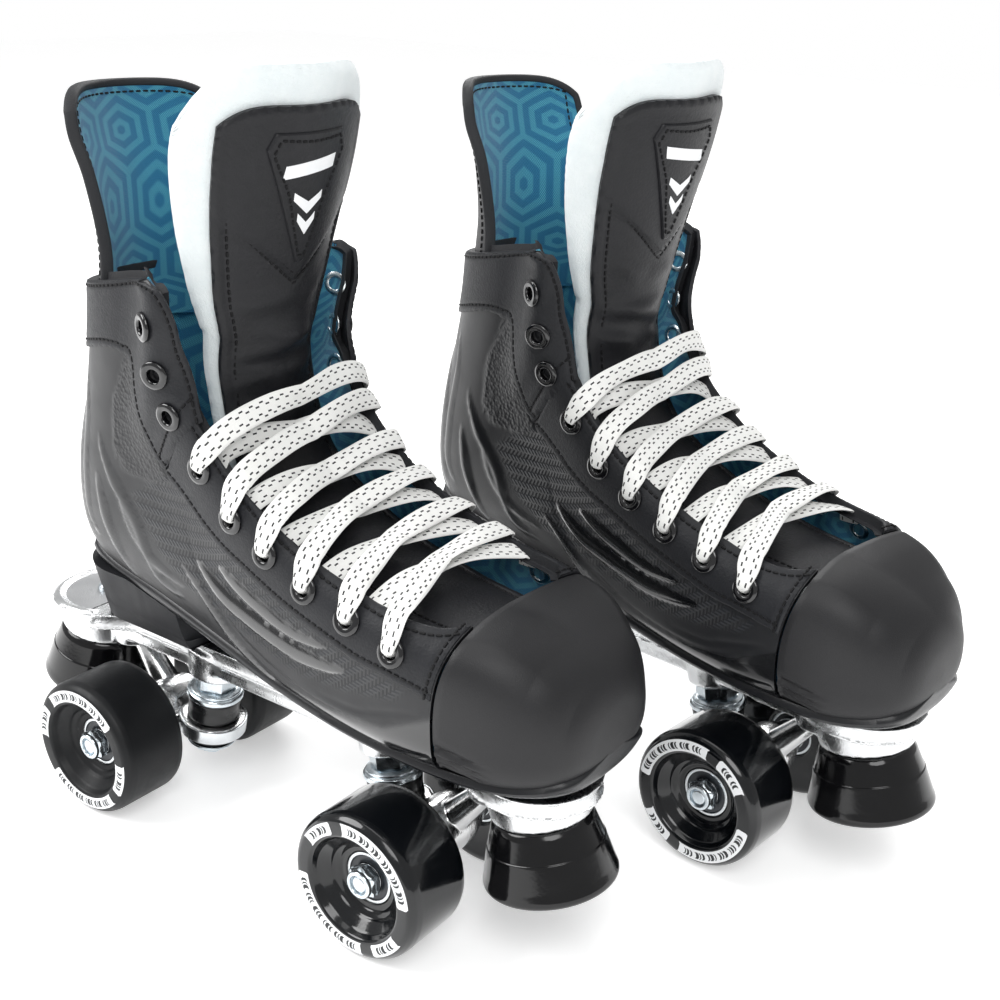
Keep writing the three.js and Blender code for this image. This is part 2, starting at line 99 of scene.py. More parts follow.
# ---------------------------------------------------------------- camera
CAMERA_PLACE = (-392.8, -382.7, 369.5)     # in the right skate's frame
CAMERA_AZIMUTH = math.radians(-54.515)     # angles in the shared frame
CAMERA_ELEVATION = math.radians(21.409)
CAMERA_ROLL = math.radians(2.034)
CAMERA_LENS = 51.24


def make_camera():
    """A camera at CAMERA_PLACE whose right, up and back directions come from the three angles."""
    a, e, roll = CAMERA_AZIMUTH, CAMERA_ELEVATION, CAMERA_ROLL
    level = np.array([math.cos(a), math.sin(a), 0])
    back = np.array([math.sin(a) * math.cos(e), -math.cos(a) * math.cos(e), math.sin(e)])
    upright = np.cross(back, level)
    right = level * math.cos(roll) + upright * math.sin(roll)
    up = upright * math.cos(roll) - level * math.sin(roll)
    camera = bpy.data.objects.new("camera", bpy.data.cameras.new("camera"))
    bpy.context.scene.collection.objects.link(camera)
    columns = np.stack([right, up, back, to_world("right", CAMERA_PLACE)], 1)
    camera.matrix_world = Matrix([*columns.tolist(), [0, 0, 0, 1]])
    camera.data.lens = CAMERA_LENS
    camera.data.clip_start = 0.01
    bpy.context.scene.camera = camera


# ---------------------------------------------------------------- mesh building
class Solid:
    """Points in millimetres, lists of face arrays, one UV pair a point and named point values."""

    def __init__(self, points, faces, uv=None, marks=None, material=0):
        self.points = np.asarray(points, float).reshape(-1, 3)
        self.faces = faces
        self.uv = np.zeros((len(self.points), 2)) if uv is None else np.asarray(uv, float).reshape(-1, 2)
        self.marks = marks or {}
        self.material = material


def build(name, side, solids, body, materials, replaces=(), sharp=40):
    """One mesh object from solids: joined, laid into the shared frame, coincident points merged
    and faces turned outward."""
    solids = solids if isinstance(solids, list) else [solids]
    offsets = np.cumsum([0] + [len(s.points) for s in solids])
    faces = [(f + at) for s, at in zip(solids, offsets) for f in s.faces]
    paint = [np.full(len(f), s.material) for s in solids for f in s.faces]
    mesh = bpy.data.meshes.new(f"{side}_{name}")
    points = to_world(side, np.concatenate([s.points for s in solids]))
    mesh.from_pydata(points.tolist(), [], [row for f in faces for row in f.tolist()])
    mesh.polygons.foreach_set("material_index", np.concatenate(paint).astype(np.int32))
    uv = np.concatenate([s.uv for s in solids])
    corner = np.empty(len(mesh.loops), np.int32)
    mesh.loops.foreach_get("vertex_index", corner)
    mesh.uv_layers.new(name="millimetres").data.foreach_set("uv", uv[corner].ravel())
    for mark in sorted({key for s in solids for key in s.marks}):
        values = [np.ravel(s.marks.get(mark, np.zeros(len(s.points)))) for s in solids]
        mesh.attributes.new(mark, "FLOAT", "POINT").data.foreach_set("value", np.concatenate(values))
    tidy = bmesh.new()
    tidy.from_mesh(mesh)
    bmesh.ops.remove_doubles(tidy, verts=tidy.verts, dist=2e-6)
    bmesh.ops.recalc_face_normals(tidy, faces=tidy.faces)
    tidy.to_mesh(mesh)
    tidy.free()
    mesh.shade_smooth()
    mesh.set_sharp_from_angle(angle=math.radians(sharp))
    for material in (materials if isinstance(materials, (list, tuple)) else [materials]):
        mesh.materials.append(material)
    piece = bpy.data.objects.new(f"{side}_{name}", mesh)
    bpy.context.scene.collection.objects.link(piece)
    if isinstance(body, tuple):
        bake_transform(piece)
    else:
        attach(piece, f"{side}_{body}")
    if replaces:
        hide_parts(*[f"{side}_{node}" for node in replaces])
    return piece


def grid_faces(rows, columns, ring_rows=False, ring_columns=False):
    """Quads of a rows by columns grid of points, closed on itself where it is a ring."""
    i = np.arange(rows if ring_rows else rows - 1)[:, None]
    j = np.arange(columns if ring_columns else columns - 1)[None, :]
    i, j = np.broadcast_arrays(i, j)
    i2, j2 = (i + 1) % rows, (j + 1) % columns
    quads = [i * columns + j, i2 * columns + j, i2 * columns + j2, i * columns + j2]
    return np.stack(quads, -1).reshape(-1, 4)


def thick(outer, inner, ring=False, uv=None, marks=None, material=0):
    """The closed body between an outer and an inner grid of the same size; with ring, the
    columns close on themselves. UVs and marks given for the outer grid serve the inner too."""
    rows, columns = outer.shape[:2]
    n = rows * columns
    flat = np.arange(n).reshape(rows, columns)
    skin = grid_faces(rows, columns, False, ring)
    walls = []
    for edge in (flat[0], flat[-1]):
        edge = np.append(edge, edge[0]) if ring else edge
        walls.append(np.stack([edge[:-1], edge[1:], edge[1:] + n, edge[:-1] + n], -1))
    if not ring:
        for edge in (flat[:, 0], flat[:, -1]):
            walls.append(np.stack([edge[:-1], edge[1:], edge[1:] + n, edge[:-1] + n], -1))
    twice = {key: np.concatenate([np.ravel(v), np.ravel(v)]) for key, v in (marks or {}).items()}
    uv2 = None if uv is None else np.concatenate([np.reshape(uv, (-1, 2))] * 2)
    points = np.concatenate([outer.reshape(-1, 3), inner.reshape(-1, 3)])
    return Solid(points, [skin, skin[:, ::-1] + n, *walls], uv2, twice, material)


def catmull(knots, samples):
    """A Catmull-Rom curve through the knots' rows, sampled evenly in knot number."""
    knots = np.asarray(knots, float)
    ends = [2 * knots[0] - knots[1], *knots, 2 * knots[-1] - knots[-2]]
    padded = np.array(ends)
    at = np.linspace(0, len(knots) - 1, samples)
    i = np.minimum(np.floor(at).astype(int), len(knots) - 2)
    f = (at - i)[:, None]
    p0, p1, p2, p3 = (padded[i + k] for k in range(4))
    return 0.5 * (2 * p1 + (p2 - p0) * f + (2 * p0 - 5 * p1 + 4 * p2 - p3) * f ** 2
                  + (3 * p1 - p0 - 3 * p2 + p3) * f ** 3)


def unit(v):
    return v / np.maximum(np.linalg.norm(v, axis=-1, keepdims=True), 1e-12)


def lengths(path):
    """Distance along a path at each of its points."""
    return np.concatenate([[0], np.cumsum(np.linalg.norm(np.diff(path, axis=0), axis=1))])


def along_path(values, at, where):
    """Rows of values read at distances `where`, given that they lie at distances `at`."""
    return np.stack([np.interp(where, at, column) for column in values.T], -1)


def evenly(values, path, samples):
    """Rows of values resampled at equal distances along the path."""
    at = lengths(path)
    return along_path(values, at, np.linspace(0, at[-1], samples))


def smoothstep(x):
    x = np.clip(x, 0, 1)
    return x * x * (3 - 2 * x)


def nearest(points, line):
    """Distance from each point to the closest point of a line, and that point's number."""
    flat = points.reshape(-1, 3)
    square = ((flat[:, None, :] - line[None]) ** 2).sum(-1)
    index = square.argmin(1)
    distance = np.sqrt(square[np.arange(len(flat)), index])
    return distance.reshape(points.shape[:-1]), index.reshape(points.shape[:-1])


def side_directions(direction):
    """Two directions square to a line and to each other."""
    d = unit(np.asarray(direction, float))
    first = unit(np.cross(d, UP if abs(d[2]) < 0.9 else ACROSS))
    return d, first, np.cross(d, first)


def rounded(profile, radius, steps=4):
    """A profile with each inner corner replaced by a short curve that starts `radius` before
    it, or a third of the shorter leg where that is less."""
    p = np.asarray(profile, float)
    result = [p[0]]
    for before, corner, after in zip(p[:-2], p[1:-1], p[2:]):
        reach = min(radius, np.linalg.norm(before - corner) / 2.2, np.linalg.norm(after - corner) / 2.2)
        a = corner + unit(before - corner) * reach
        b = corner + unit(after - corner) * reach
        f = np.linspace(0, 1, steps)[:, None]
        result.extend((1 - f) ** 2 * a + 2 * f * (1 - f) * corner + f ** 2 * b)
    return np.array([*result, p[-1]])


def turned(profile, at, direction, segments=64, radius=0.4, turn=(0, 2 * math.pi), material=0):
    """A solid of revolution: [radius, distance] points carried round the line from `at`."""
    d, first, second = side_directions(direction)
    p = rounded(profile, radius) if radius else np.asarray(profile, float)
    angle = np.linspace(*turn, segments, endpoint=False)
    spoke = np.cos(angle)[:, None] * first + np.sin(angle)[:, None] * second
    points = np.asarray(at, float) + p[:, None, 0:1] * spoke[None] + p[:, None, 1:2] * d
    return Solid(points, [grid_faces(len(p), segments, False, True)], material=material)


def closed_turn(profile, at, direction, segments=64, radius=0.4, material=0):
    """A solid of revolution whose profile closes on itself away from the line."""
    p = np.asarray(profile, float)
    middle = (p[-1] + p[0]) / 2
    loop = rounded([middle, *p, middle], radius)[:-1]
    d, first, second = side_directions(direction)
    angle = np.linspace(0, 2 * math.pi, segments, endpoint=False)
    spoke = np.cos(angle)[:, None] * first + np.sin(angle)[:, None] * second
    points = np.asarray(at, float) + loop[:, None, 0:1] * spoke[None] + loop[:, None, 1:2] * d
    return Solid(points, [grid_faces(len(loop), segments, True, True)], material=material)


def hexagon(radius, start, end, at, direction, chamfer=0.8, material=0):
    """A hexagonal bar with its corners turned off at both ends: a ring of 48 points whose
    radius is the smaller of the hexagon's and a cone's."""
    d, first, second = side_directions(direction)
    angle = np.linspace(0, 2 * math.pi, 48, endpoint=False)
    flat = radius * math.cos(math.pi / 6) / np.cos((angle + math.pi / 6) % (math.pi / 3) - math.pi / 6)
    rows = []
    for distance, limit in ((start, 0), (start, radius - 2 * chamfer), (start + chamfer, radius),
                            (end - chamfer, radius), (end, radius - 2 * chamfer), (end, 0)):
        r = np.minimum(flat, limit)[:, None]
        rows.append(np.asarray(at, float) + r * (np.cos(angle)[:, None] * first
                    + np.sin(angle)[:, None] * second) + d * distance)
    return Solid(np.array(rows), [grid_faces(6, 48, False, True)], material=material)


def swept(path, normals, half_width, half_height, around=12, power=2.6, material=0):
    """A flattened rod along a path: a superellipse across it, `normals` being its up. UVs are
    millimetres along and across."""
    tangent = unit(np.gradient(path, axis=0))
    up = unit(normals - (normals * tangent).sum(-1, keepdims=True) * tangent)
    across = np.cross(tangent, up)
    angle = np.linspace(0, 2 * math.pi, around, endpoint=False)
    c = np.sign(np.cos(angle)) * np.abs(np.cos(angle)) ** (2 / power)
    s = np.sign(np.sin(angle)) * np.abs(np.sin(angle)) ** (2 / power)
    w = np.broadcast_to(half_width, len(path))[:, None]
    h = np.broadcast_to(half_height, len(path))[:, None]
    points = path[:, None] + across[:, None] * (w * c)[..., None] + up[:, None] * (h * s)[..., None]
    u = np.broadcast_to(lengths(path)[:, None], (len(path), around))
    faces = [grid_faces(len(path), around, False, True)]
    last = (len(path) - 1) * around
    faces += [np.arange(around)[None, ::-1], np.arange(last, last + around)[None]]
    return Solid(points, faces, np.stack([u, w * c], -1), material=material)


def stitches(path, normals, pitch=3.1, length=2.4, radius=0.55, material=0):
    """Thread capsules laid end to end along a path: one capsule of 4 rings of 6 points,
    repeated at every pitch and turned along the path."""
    at = lengths(path)
    where = np.arange(pitch / 2, at[-1] - pitch / 3, pitch)
    middle = along_path(path, at, where)
    tangent = unit(along_path(path, at, where + 0.4) - along_path(path, at, where - 0.4))
    up = unit(along_path(normals, at, where))
    across = np.cross(tangent, up)
    x = np.repeat([-0.5, -0.36, 0.36, 0.5], 6) * length
    r = np.repeat([0.4, 1, 1, 0.4], 6) * radius
    angle = np.tile(np.arange(6) * math.pi / 3, 4)
    points = (middle[:, None] + tangent[:, None] * x[:, None]
              + across[:, None] * (r * np.cos(angle))[:, None] + up[:, None] * (r * np.sin(angle))[:, None])
    step = (np.arange(len(where)) * 24)[:, None, None]
    body = grid_faces(4, 6, False, True)[None] + step
    caps = np.array([[5, 4, 3, 2, 1, 0], [18, 19, 20, 21, 22, 23]])[None] + step
    return Solid(points, [body.reshape(-1, 4), caps.reshape(-1, 6)], material=material)


# ---------------------------------------------------------------- materials
def linear(colour):
    """An sRGB hex colour as linear red, green, blue and alpha."""
    parts = [int(colour[k:k + 2], 16) / 255 for k in (1, 3, 5)]
    return (*[c / 12.92 if c <= 0.04045 else ((c + 0.055) / 1.055) ** 2.4 for c in parts], 1.0)


def add(tree, kind, sockets=None, **settings):
    """Adds a node; `sockets` maps its inputs to values or to other nodes' outputs."""
    made = tree.nodes.new(kind)
    for key, value in settings.items():
        setattr(made, key, value)
    for key, value in (sockets or {}).items():
        if isinstance(value, bpy.types.NodeSocket):
            tree.links.new(value, made.inputs[key])
        else:
            made.inputs[key].default_value = value
    return made


def new_material(name, **shader):
    """A material with one Principled shader; the values given are set on its own sockets."""
    material = bpy.data.materials.new(name)
    material.use_nodes = True
    principled = material.node_tree.nodes["Principled BSDF"]
    for key, value in shader.items():
        socket = principled.inputs[key.replace("_", " ")]
        socket.default_value = linear(value) if isinstance(value, str) else value
    return material, material.node_tree, principled


def mix_colours(tree, factor, first, second):
    """Colour between two hex colours or colour outputs."""
    sockets = {"Factor": factor}
    for key, value in (("A", first), ("B", second)):
        sockets[6 if key == "A" else 7] = linear(value) if isinstance(value, str) else value
    return add(tree, "ShaderNodeMix", sockets, data_type="RGBA").outputs[2]


def spread(tree, value, low, high, to_low, to_high):
    """Map Range from one interval to another."""
    sockets = {"Value": value, "From Min": low, "From Max": high, "To Min": to_low, "To Max": to_high}
    return add(tree, "ShaderNodeMapRange", sockets).outputs["Result"]


def maths(tree, operation, *values):
    """Result of one Math node."""
    return add(tree, "ShaderNodeMath", dict(enumerate(values)), operation=operation).outputs[0]


def object_point(tree):
    return add(tree, "ShaderNodeTexCoord").outputs["Object"]


def noise(tree, point, size, detail=3.0, roughness=0.55):
    """Noise whose grains are about `size` millimetres, for a point in metres."""
    sockets = {"Vector": point, "Scale": 1 / (size * MM), "Detail": detail, "Roughness": roughness}
    return add(tree, "ShaderNodeTexNoise", sockets).outputs["Fac"]


def cells(tree, point, size, feature="F1"):
    """Distance pattern of Voronoi cells about `size` millimetres across."""
    sockets = {"Vector": point, "Scale": 1 / (size * MM)}
    return add(tree, "ShaderNodeTexVoronoi", sockets, feature=feature).outputs["Distance"]


def bumped(tree, principled, height, depth, strength=1.0):
    """Bump of `depth` millimetres on the shader's normal."""
    sockets = {"Height": height, "Distance": depth * MM, "Strength": strength}
    bump = add(tree, "ShaderNodeBump", sockets)
    tree.links.new(bump.outputs["Normal"], principled.inputs["Normal"])


def plain_surface(name, colour, second, patch, grain, depth, roughness, spread_roughness, **shader):
    """A finish with slow colour patches, fine grain in the bump and patchy roughness."""
    material, tree, principled = new_material(name, **shader)
    point = object_point(tree)
    slow = noise(tree, point, patch)
    tree.links.new(mix_colours(tree, slow, colour, second), principled.inputs["Base Color"])
    low, high = roughness - spread_roughness, roughness + spread_roughness
    tree.links.new(spread(tree, slow, 0.3, 0.7, low, high), principled.inputs["Roughness"])
    bumped(tree, principled, noise(tree, point, grain, 4.0), depth)
    return material


def grained_leather(name, colour, second, grain, depth, roughness):
    """Coated leather: pebbles a millimetre or so across with fine creases between them give a
    broken, soft highlight."""
    material, tree, principled = new_material(name, Specular_IOR_Level=0.3)
    point = object_point(tree)
    slow = noise(tree, point, 22)
    tree.links.new(mix_colours(tree, slow, colour, second), principled.inputs["Base Color"])
    wobble = spread(tree, noise(tree, point, grain * 2.5), 0, 1, roughness - 0.1, roughness + 0.1)
    tree.links.new(wobble, principled.inputs["Roughness"])
    pebbles = maths(tree, "MULTIPLY", cells(tree, point, grain), 0.6)
    height = maths(tree, "ADD", pebbles, maths(tree, "MULTIPLY", noise(tree, point, 0.5, 4.0), 0.6))
    bumped(tree, principled, height, depth)
    return material


def shell_material():
    """Moulded thermoplastic side shell: satin black, pressed with a fine twill weave, pebbled at
    the ankle and polished where the mark `gloss` is high."""
    material, tree, principled = new_material("moulded_thermoplastic", Specular_IOR_Level=0.42)
    uv = add(tree, "ShaderNodeUVMap", uv_map="millimetres").outputs["UV"]
    split = add(tree, "ShaderNodeSeparateXYZ", {"Vector": uv})
    marks = {key: add(tree, "ShaderNodeAttribute", attribute_name=key).outputs["Fac"]
             for key in ("weave", "pebble", "gloss")}
    tow = 1.7                                    # width of one strand of the weave
    along = maths(tree, "DIVIDE", split.outputs["X"], tow)
    across = maths(tree, "DIVIDE", split.outputs["Y"], tow)
    twill = maths(tree, "ADD", maths(tree, "FLOOR", along), maths(tree, "FLOOR", across))
    over = maths(tree, "GREATER_THAN", maths(tree, "FLOORED_MODULO", twill, 4.0), 1.5)
    ridge_a = maths(tree, "PINGPONG", along, 0.5)
    ridge_b = maths(tree, "PINGPONG", across, 0.5)
    woven = add(tree, "ShaderNodeMix", {0: over, 2: ridge_a, 3: ridge_b}).outputs[0]
    point = object_point(tree)
    pebbles = cells(tree, point, 1.7)
    weave_height = maths(tree, "MULTIPLY", woven, marks["weave"])
    pebble_height = maths(tree, "MULTIPLY", pebbles, marks["pebble"])
    fine = maths(tree, "MULTIPLY", noise(tree, point, 0.5), 0.12)
    height = maths(tree, "ADD", maths(tree, "ADD", weave_height, pebble_height), fine)
    bumped(tree, principled, height, 0.35)
    dark = mix_colours(tree, maths(tree, "MULTIPLY", over, marks["weave"]), "#141518", "#1c1e22")
    tree.links.new(mix_colours(tree, marks["gloss"], dark, "#0d0e10"), principled.inputs["Base Color"])
    rough = maths(tree, "SUBTRACT", spread(tree, noise(tree, point, 12), 0.3, 0.7, 0.38, 0.46),
                  maths(tree, "MULTIPLY", marks["gloss"], 0.27))
    tree.links.new(rough, principled.inputs["Roughness"])
    tree.links.new(marks["gloss"], principled.inputs["Coat Weight"])
    principled.inputs["Coat Roughness"].default_value = 0.1
    return material


def nearest_centre(tree, uv, cell):
    """Offset from the middle of the hexagonal cell a point lies in: the nearer of the centres
    of two rectangular lattices half a cell apart."""
    size = (cell, cell * math.sqrt(3), 1)
    half = tuple(v / 2 for v in size)
    offsets = []
    for shift in ((0, 0, 0), half):
        moved = add(tree, "ShaderNodeVectorMath", {0: uv, 1: shift}, operation="ADD").outputs[0]
        wrapped = add(tree, "ShaderNodeVectorMath", {0: moved, 1: size, 2: (0, 0, 0)}, operation="WRAP")
        inner = add(tree, "ShaderNodeVectorMath", {0: wrapped.outputs[0], 1: half}, operation="SUBTRACT")
        offsets.append(add(tree, "ShaderNodeVectorMath", {0: inner.outputs[0], 1: (1, 1, 0)},
                           operation="MULTIPLY").outputs[0])
    sizes = [add(tree, "ShaderNodeVectorMath", {0: o}, operation="LENGTH").outputs["Value"] for o in offsets]
    second = maths(tree, "LESS_THAN", sizes[1], sizes[0])
    pair = {0: second, 4: offsets[0], 5: offsets[1]}
    return add(tree, "ShaderNodeMix", pair, data_type="VECTOR").outputs[1]


def lining_material():
    """Polyester air mesh: a 1.3 mm diamond mesh over teal, printed with nested three-armed
    stars; the arms' distance makes the parallel stripes between them. The hollows between
    the mesh threads are painted darker as shade."""
    material, tree, principled = new_material("polyester_mesh", Roughness=0.8, Sheen_Weight=0.25)
    uv = add(tree, "ShaderNodeUVMap", uv_map="millimetres").outputs["UV"]
    offset = nearest_centre(tree, uv, 27.0)
    far = None
    for arm in (90, 210, 330):
        a = math.radians(arm)
        along = add(tree, "ShaderNodeVectorMath", {0: offset, 1: (math.cos(a), math.sin(a), 0)},
                    operation="DOT_PRODUCT").outputs["Value"]
        aside = add(tree, "ShaderNodeVectorMath", {0: offset, 1: (-math.sin(a), math.cos(a), 0)},
                    operation="DOT_PRODUCT").outputs["Value"]
        behind = maths(tree, "MULTIPLY", maths(tree, "LESS_THAN", along, 0.0), 100.0)
        distance = maths(tree, "ADD", maths(tree, "ABSOLUTE", aside), behind)
        far = distance if far is None else maths(tree, "MINIMUM", far, distance)
    stripe = maths(tree, "PINGPONG", maths(tree, "DIVIDE", far, 2.6), 1.0)
    light = spread(tree, stripe, 0.35, 0.6, 0.0, 1.0)
    split = add(tree, "ShaderNodeSeparateXYZ", {"Vector": uv})
    mesh_size = 0.75
    diagonals = [maths(tree, "PINGPONG", maths(tree, "DIVIDE", maths(tree, kind, split.outputs["X"],
                 maths(tree, "MULTIPLY", split.outputs["Y"], 0.8)), mesh_size), 0.5)
                 for kind in ("ADD", "SUBTRACT")]
    thread = maths(tree, "ADD", *diagonals)
    printed = mix_colours(tree, light, "#4ba5bb", "#0f7099")
    # painted shade: the colour darkens where the thread height is low, in the hollows between the mesh threads
    shade = mix_colours(tree, spread(tree, thread, 0.2, 0.8, 0.0, 1.0), "#075a7d", printed)
    tree.links.new(shade, principled.inputs["Base Color"])
    bumped(tree, principled, thread, 0.3)
    return material


def lace_material():
    """Flat woven polyester lace, white, with two dashed black tracer threads on each side of
    its middle; the weave is drawn as 0.7 mm herringbone, with painted shade darkening its low grooves a little."""
    material, tree, principled = new_material("woven_lace", Roughness=0.85, Sheen_Weight=0.3)
    uv = add(tree, "ShaderNodeUVMap", uv_map="millimetres").outputs["UV"]
    split = add(tree, "ShaderNodeSeparateXYZ", {"Vector": uv})
    u, v = split.outputs["X"], split.outputs["Y"]
    width = maths(tree, "ABSOLUTE", v)
    dashes = None
    for line, shift in ((1.5, 0.0), (2.8, 0.5)):
        near = maths(tree, "LESS_THAN", maths(tree, "ABSOLUTE", maths(tree, "SUBTRACT", width, line)), 0.34)
        phase = maths(tree, "FRACT", maths(tree, "ADD", maths(tree, "DIVIDE", u, 5.0), shift))
        dash = maths(tree, "MULTIPLY", near, maths(tree, "LESS_THAN", phase, 0.36))
        dashes = dash if dashes is None else maths(tree, "MAXIMUM", dashes, dash)
    slant = maths(tree, "ADD", u, maths(tree, "MULTIPLY", width, 0.9))
    weave = maths(tree, "PINGPONG", maths(tree, "DIVIDE", slant, 0.7), 0.5)
    # painted shade: the white is a little darker where the weave's height is low, in its grooves
    white = mix_colours(tree, weave, "#e6e6e3", "#fbfbf9")
    tree.links.new(mix_colours(tree, dashes, white, "#222226"), principled.inputs["Base Color"])
    bumped(tree, principled, weave, 0.15)
    return material


def felt_material():
    """Pressed white felt: short fibres in every direction give a cloudy matt surface."""
    material, tree, principled = new_material("pressed_felt", Roughness=0.95, Sheen_Weight=0.5)
    point = object_point(tree)
    slow = noise(tree, point, 9)
    fibres = noise(tree, point, 0.9, 6.0, 0.7)
    tree.links.new(mix_colours(tree, slow, "#dbe4e6", "#eff4f4"), principled.inputs["Base Color"])
    bumped(tree, principled, fibres, 0.5)
    return material


def cast_aluminium(name, colour, second, roughness, grain):
    """Tumbled cast aluminium: bright, with soft dents and a fine skin."""
    return plain_surface(name, colour, second, 9, grain, 0.12, roughness, 0.07, Metallic=1.0)


def urethane_material(name, colour, roughness, coat):
    """Cast urethane: nearly black, slightly smoky, with scuffs that break up the shine."""
    material, tree, principled = new_material(name, Specular_IOR_Level=0.28, IOR=1.5,
                                              Coat_Weight=coat, Coat_Roughness=0.06)
    point = object_point(tree)
    scuffs = noise(tree, point, 5, 6.0, 0.7)
    tree.links.new(mix_colours(tree, scuffs, colour, "#0d0f12"), principled.inputs["Base Color"])
    tree.links.new(spread(tree, scuffs, 0.35, 0.7, roughness, roughness + 0.12),
                   principled.inputs["Roughness"])
    bumped(tree, principled, noise(tree, point, 1.2, 4.0), 0.03)
    return material


LEATHER = grained_leather("coated_leather", "#17181b", "#1f2024", 1.1, 0.16, 0.5)
TONGUE_LEATHER = grained_leather("soft_leather", "#151618", "#1d1d21", 1.4, 0.14, 0.42)
EDGE_TAPE = plain_surface("folded_leather_edge", "#1a1b1e", "#242528", 12, 0.7, 0.2, 0.6, 0.06,
                          Specular_IOR_Level=0.3)
SHELL = shell_material()
CAP = plain_surface("moulded_toe_polymer", "#19191b", "#202022", 30, 0.55, 0.1, 0.47, 0.05,
                    Specular_IOR_Level=0.35)
SOLE = plain_surface("sole_polymer", "#101114", "#17181b", 25, 0.6, 0.08, 0.32, 0.06,
                     Specular_IOR_Level=0.4)
WEDGE = plain_surface("moulded_heel_rubber", "#131417", "#1a1b1f", 20, 0.7, 0.12, 0.6, 0.05,
                      Specular_IOR_Level=0.3)
LINING = lining_material()
FELT = felt_material()
LACE = lace_material()
THREAD = plain_surface("bonded_thread", "#08080a", "#101012", 3, 0.4, 0.1, 0.6, 0.05,
                       Specular_IOR_Level=0.25)
ENAMEL = plain_surface("black_enamel", "#08080a", "#0e0e11", 6, 2.0, 0.02, 0.1, 0.03, Coat_Weight=0.5)
NICKEL = plain_surface("nickel_washer", "#cfd6d8", "#e4e9ea", 6, 1.0, 0.03, 0.25, 0.05, Metallic=1.0)
PLATE_METAL = cast_aluminium("cast_aluminium", "#d6d8da", "#eceded", 0.27, 1.2)
DECK_METAL = cast_aluminium("blasted_aluminium", "#9b9c9e", "#b4b5b6", 0.48, 0.6)
TRUCK_METAL = cast_aluminium("polished_aluminium", "#d9dadb", "#f0f0f0", 0.2, 1.6)
ZINC = plain_surface("zinc_plated_steel", "#b9c3c9", "#e0e6ea", 4, 0.8, 0.04, 0.22, 0.06, Metallic=1.0)
BEARING = plain_surface("ground_steel", "#c3c7ca", "#dfe2e4", 5, 0.7, 0.03, 0.24, 0.05, Metallic=1.0)
SHIELD = plain_surface("bearing_shield", "#22262b", "#2f343a", 5, 0.6, 0.04, 0.35, 0.05)
CUSHION = plain_surface("cushion_urethane", "#0d0e0f", "#17181a", 6, 0.8, 0.05, 0.3, 0.06)
WHEEL = urethane_material("cast_urethane", "#05070a", 0.1, 0.45)
WORN_WHEEL = urethane_material("worn_urethane", "#0a0b0d", 0.42, 0.0)
STOPPER = plain_surface("stop_rubber", "#060607", "#0c0c0e", 10, 1.4, 0.04, 0.13, 0.05, Coat_Weight=0.25,
                        Specular_IOR_Level=0.3)
INK = plain_surface("black_print", "#16181b", "#1d1f22", 6, 0.5, 0.03, 0.5, 0.05)
PRINT = plain_surface("white_print", "#e8eaec", "#f6f7f8", 6, 0.5, 0.03, 0.5, 0.05)


# ---------------------------------------------------------------- boot surface
# A fan of sections from the toe tip to the collar: back y and z, front y and z, half width,
# centre x, height of the widest place, superellipse powers below and above it, throat half width.
SECTIONS = np.array([
    [-157, 102, -157, 102, 0, 3, 0.5, 2, 2, 0],
    [-156, 93, -156, 115, 17, 3, 0.46, 2.3, 2.2, 0],
    [-152, 86, -151, 125, 28, 3, 0.42, 2.6, 2.3, 0],
    [-143, 82, -141, 132, 37, 3, 0.4, 2.8, 2.4, 0],
    [-126, 80, -123, 138, 44, 3, 0.38, 3, 2.4, 0],
    [-100, 80, -97, 140, 47, 2, 0.38, 3, 2.3, 23],
    [-65, 80, -60, 146, 46, 1, 0.38, 2.8, 2.3, 25],
    [-25, 81, -24, 161, 43, 0, 0.42, 2.5, 2.5, 26],
    [20, 86, -4, 181, 41, 0, 0.46, 2.3, 2.5, 28],
    [60, 92, 2, 203, 40, 0, 0.48, 2.2, 2.6, 31],
    [97, 98, 0, 221, 40, 0, 0.5, 2.1, 2.6, 34],
    [111, 110, -3, 231, 41, 0, 0.5, 2.1, 2.6, 37],
    [114, 135, -5, 239, 42, 0, 0.5, 2.1, 2.6, 38],
    [106, 175, -7, 246, 43, 0, 0.5, 2.1, 2.6, 39],
    [98, 213, -8, 251, 44, 0, 0.5, 2.1, 2.6, 40],
    [96, 235, -9, 256, 44, 0, 0.5, 2.1, 2.6, 40],
])
LAST = len(SECTIONS) - 1
CAP_END = 4.7
SEAM = 0.02
SKIN = 2.0                       # moulded shell or leather
LINING_DEPTH = 4.0               # inside of the lining
# How far the throat's edges stand open: fan position, then outward, back and up.
SPLAY = np.array([[0, 0, 0, 0], [2, 0, 0, 0], [3.2, 5, -1, 2], [4.7, 13, -7, 5], [6, 15, -8, 6],
                  [7.5, 15, -7, 7], [9, 14, -4, 6], [11, 13, -2, 4], [13, 14, -1, 2], [14.2, 13.5, 1, 2],
                  [15, 12, 8, -1]])
SPLAY_START = math.radians(88)


def section(t):
    """Catmull-Rom between the rows at fan position t: the usual four-point cubic."""
    t = np.clip(t, 0, LAST - 1e-9)
    i = np.floor(t).astype(int)
    f = (t - i)[..., None]
    p0, p1, p2, p3 = (SECTIONS[np.clip(i + k, 0, LAST)] for k in (-1, 0, 1, 2))
    return 0.5 * (2 * p1 + (p2 - p0) * f + (2 * p0 - 5 * p1 + 4 * p2 - p3) * f ** 2
                  + (3 * p1 - p0 - 3 * p2 + p3) * f ** 3)


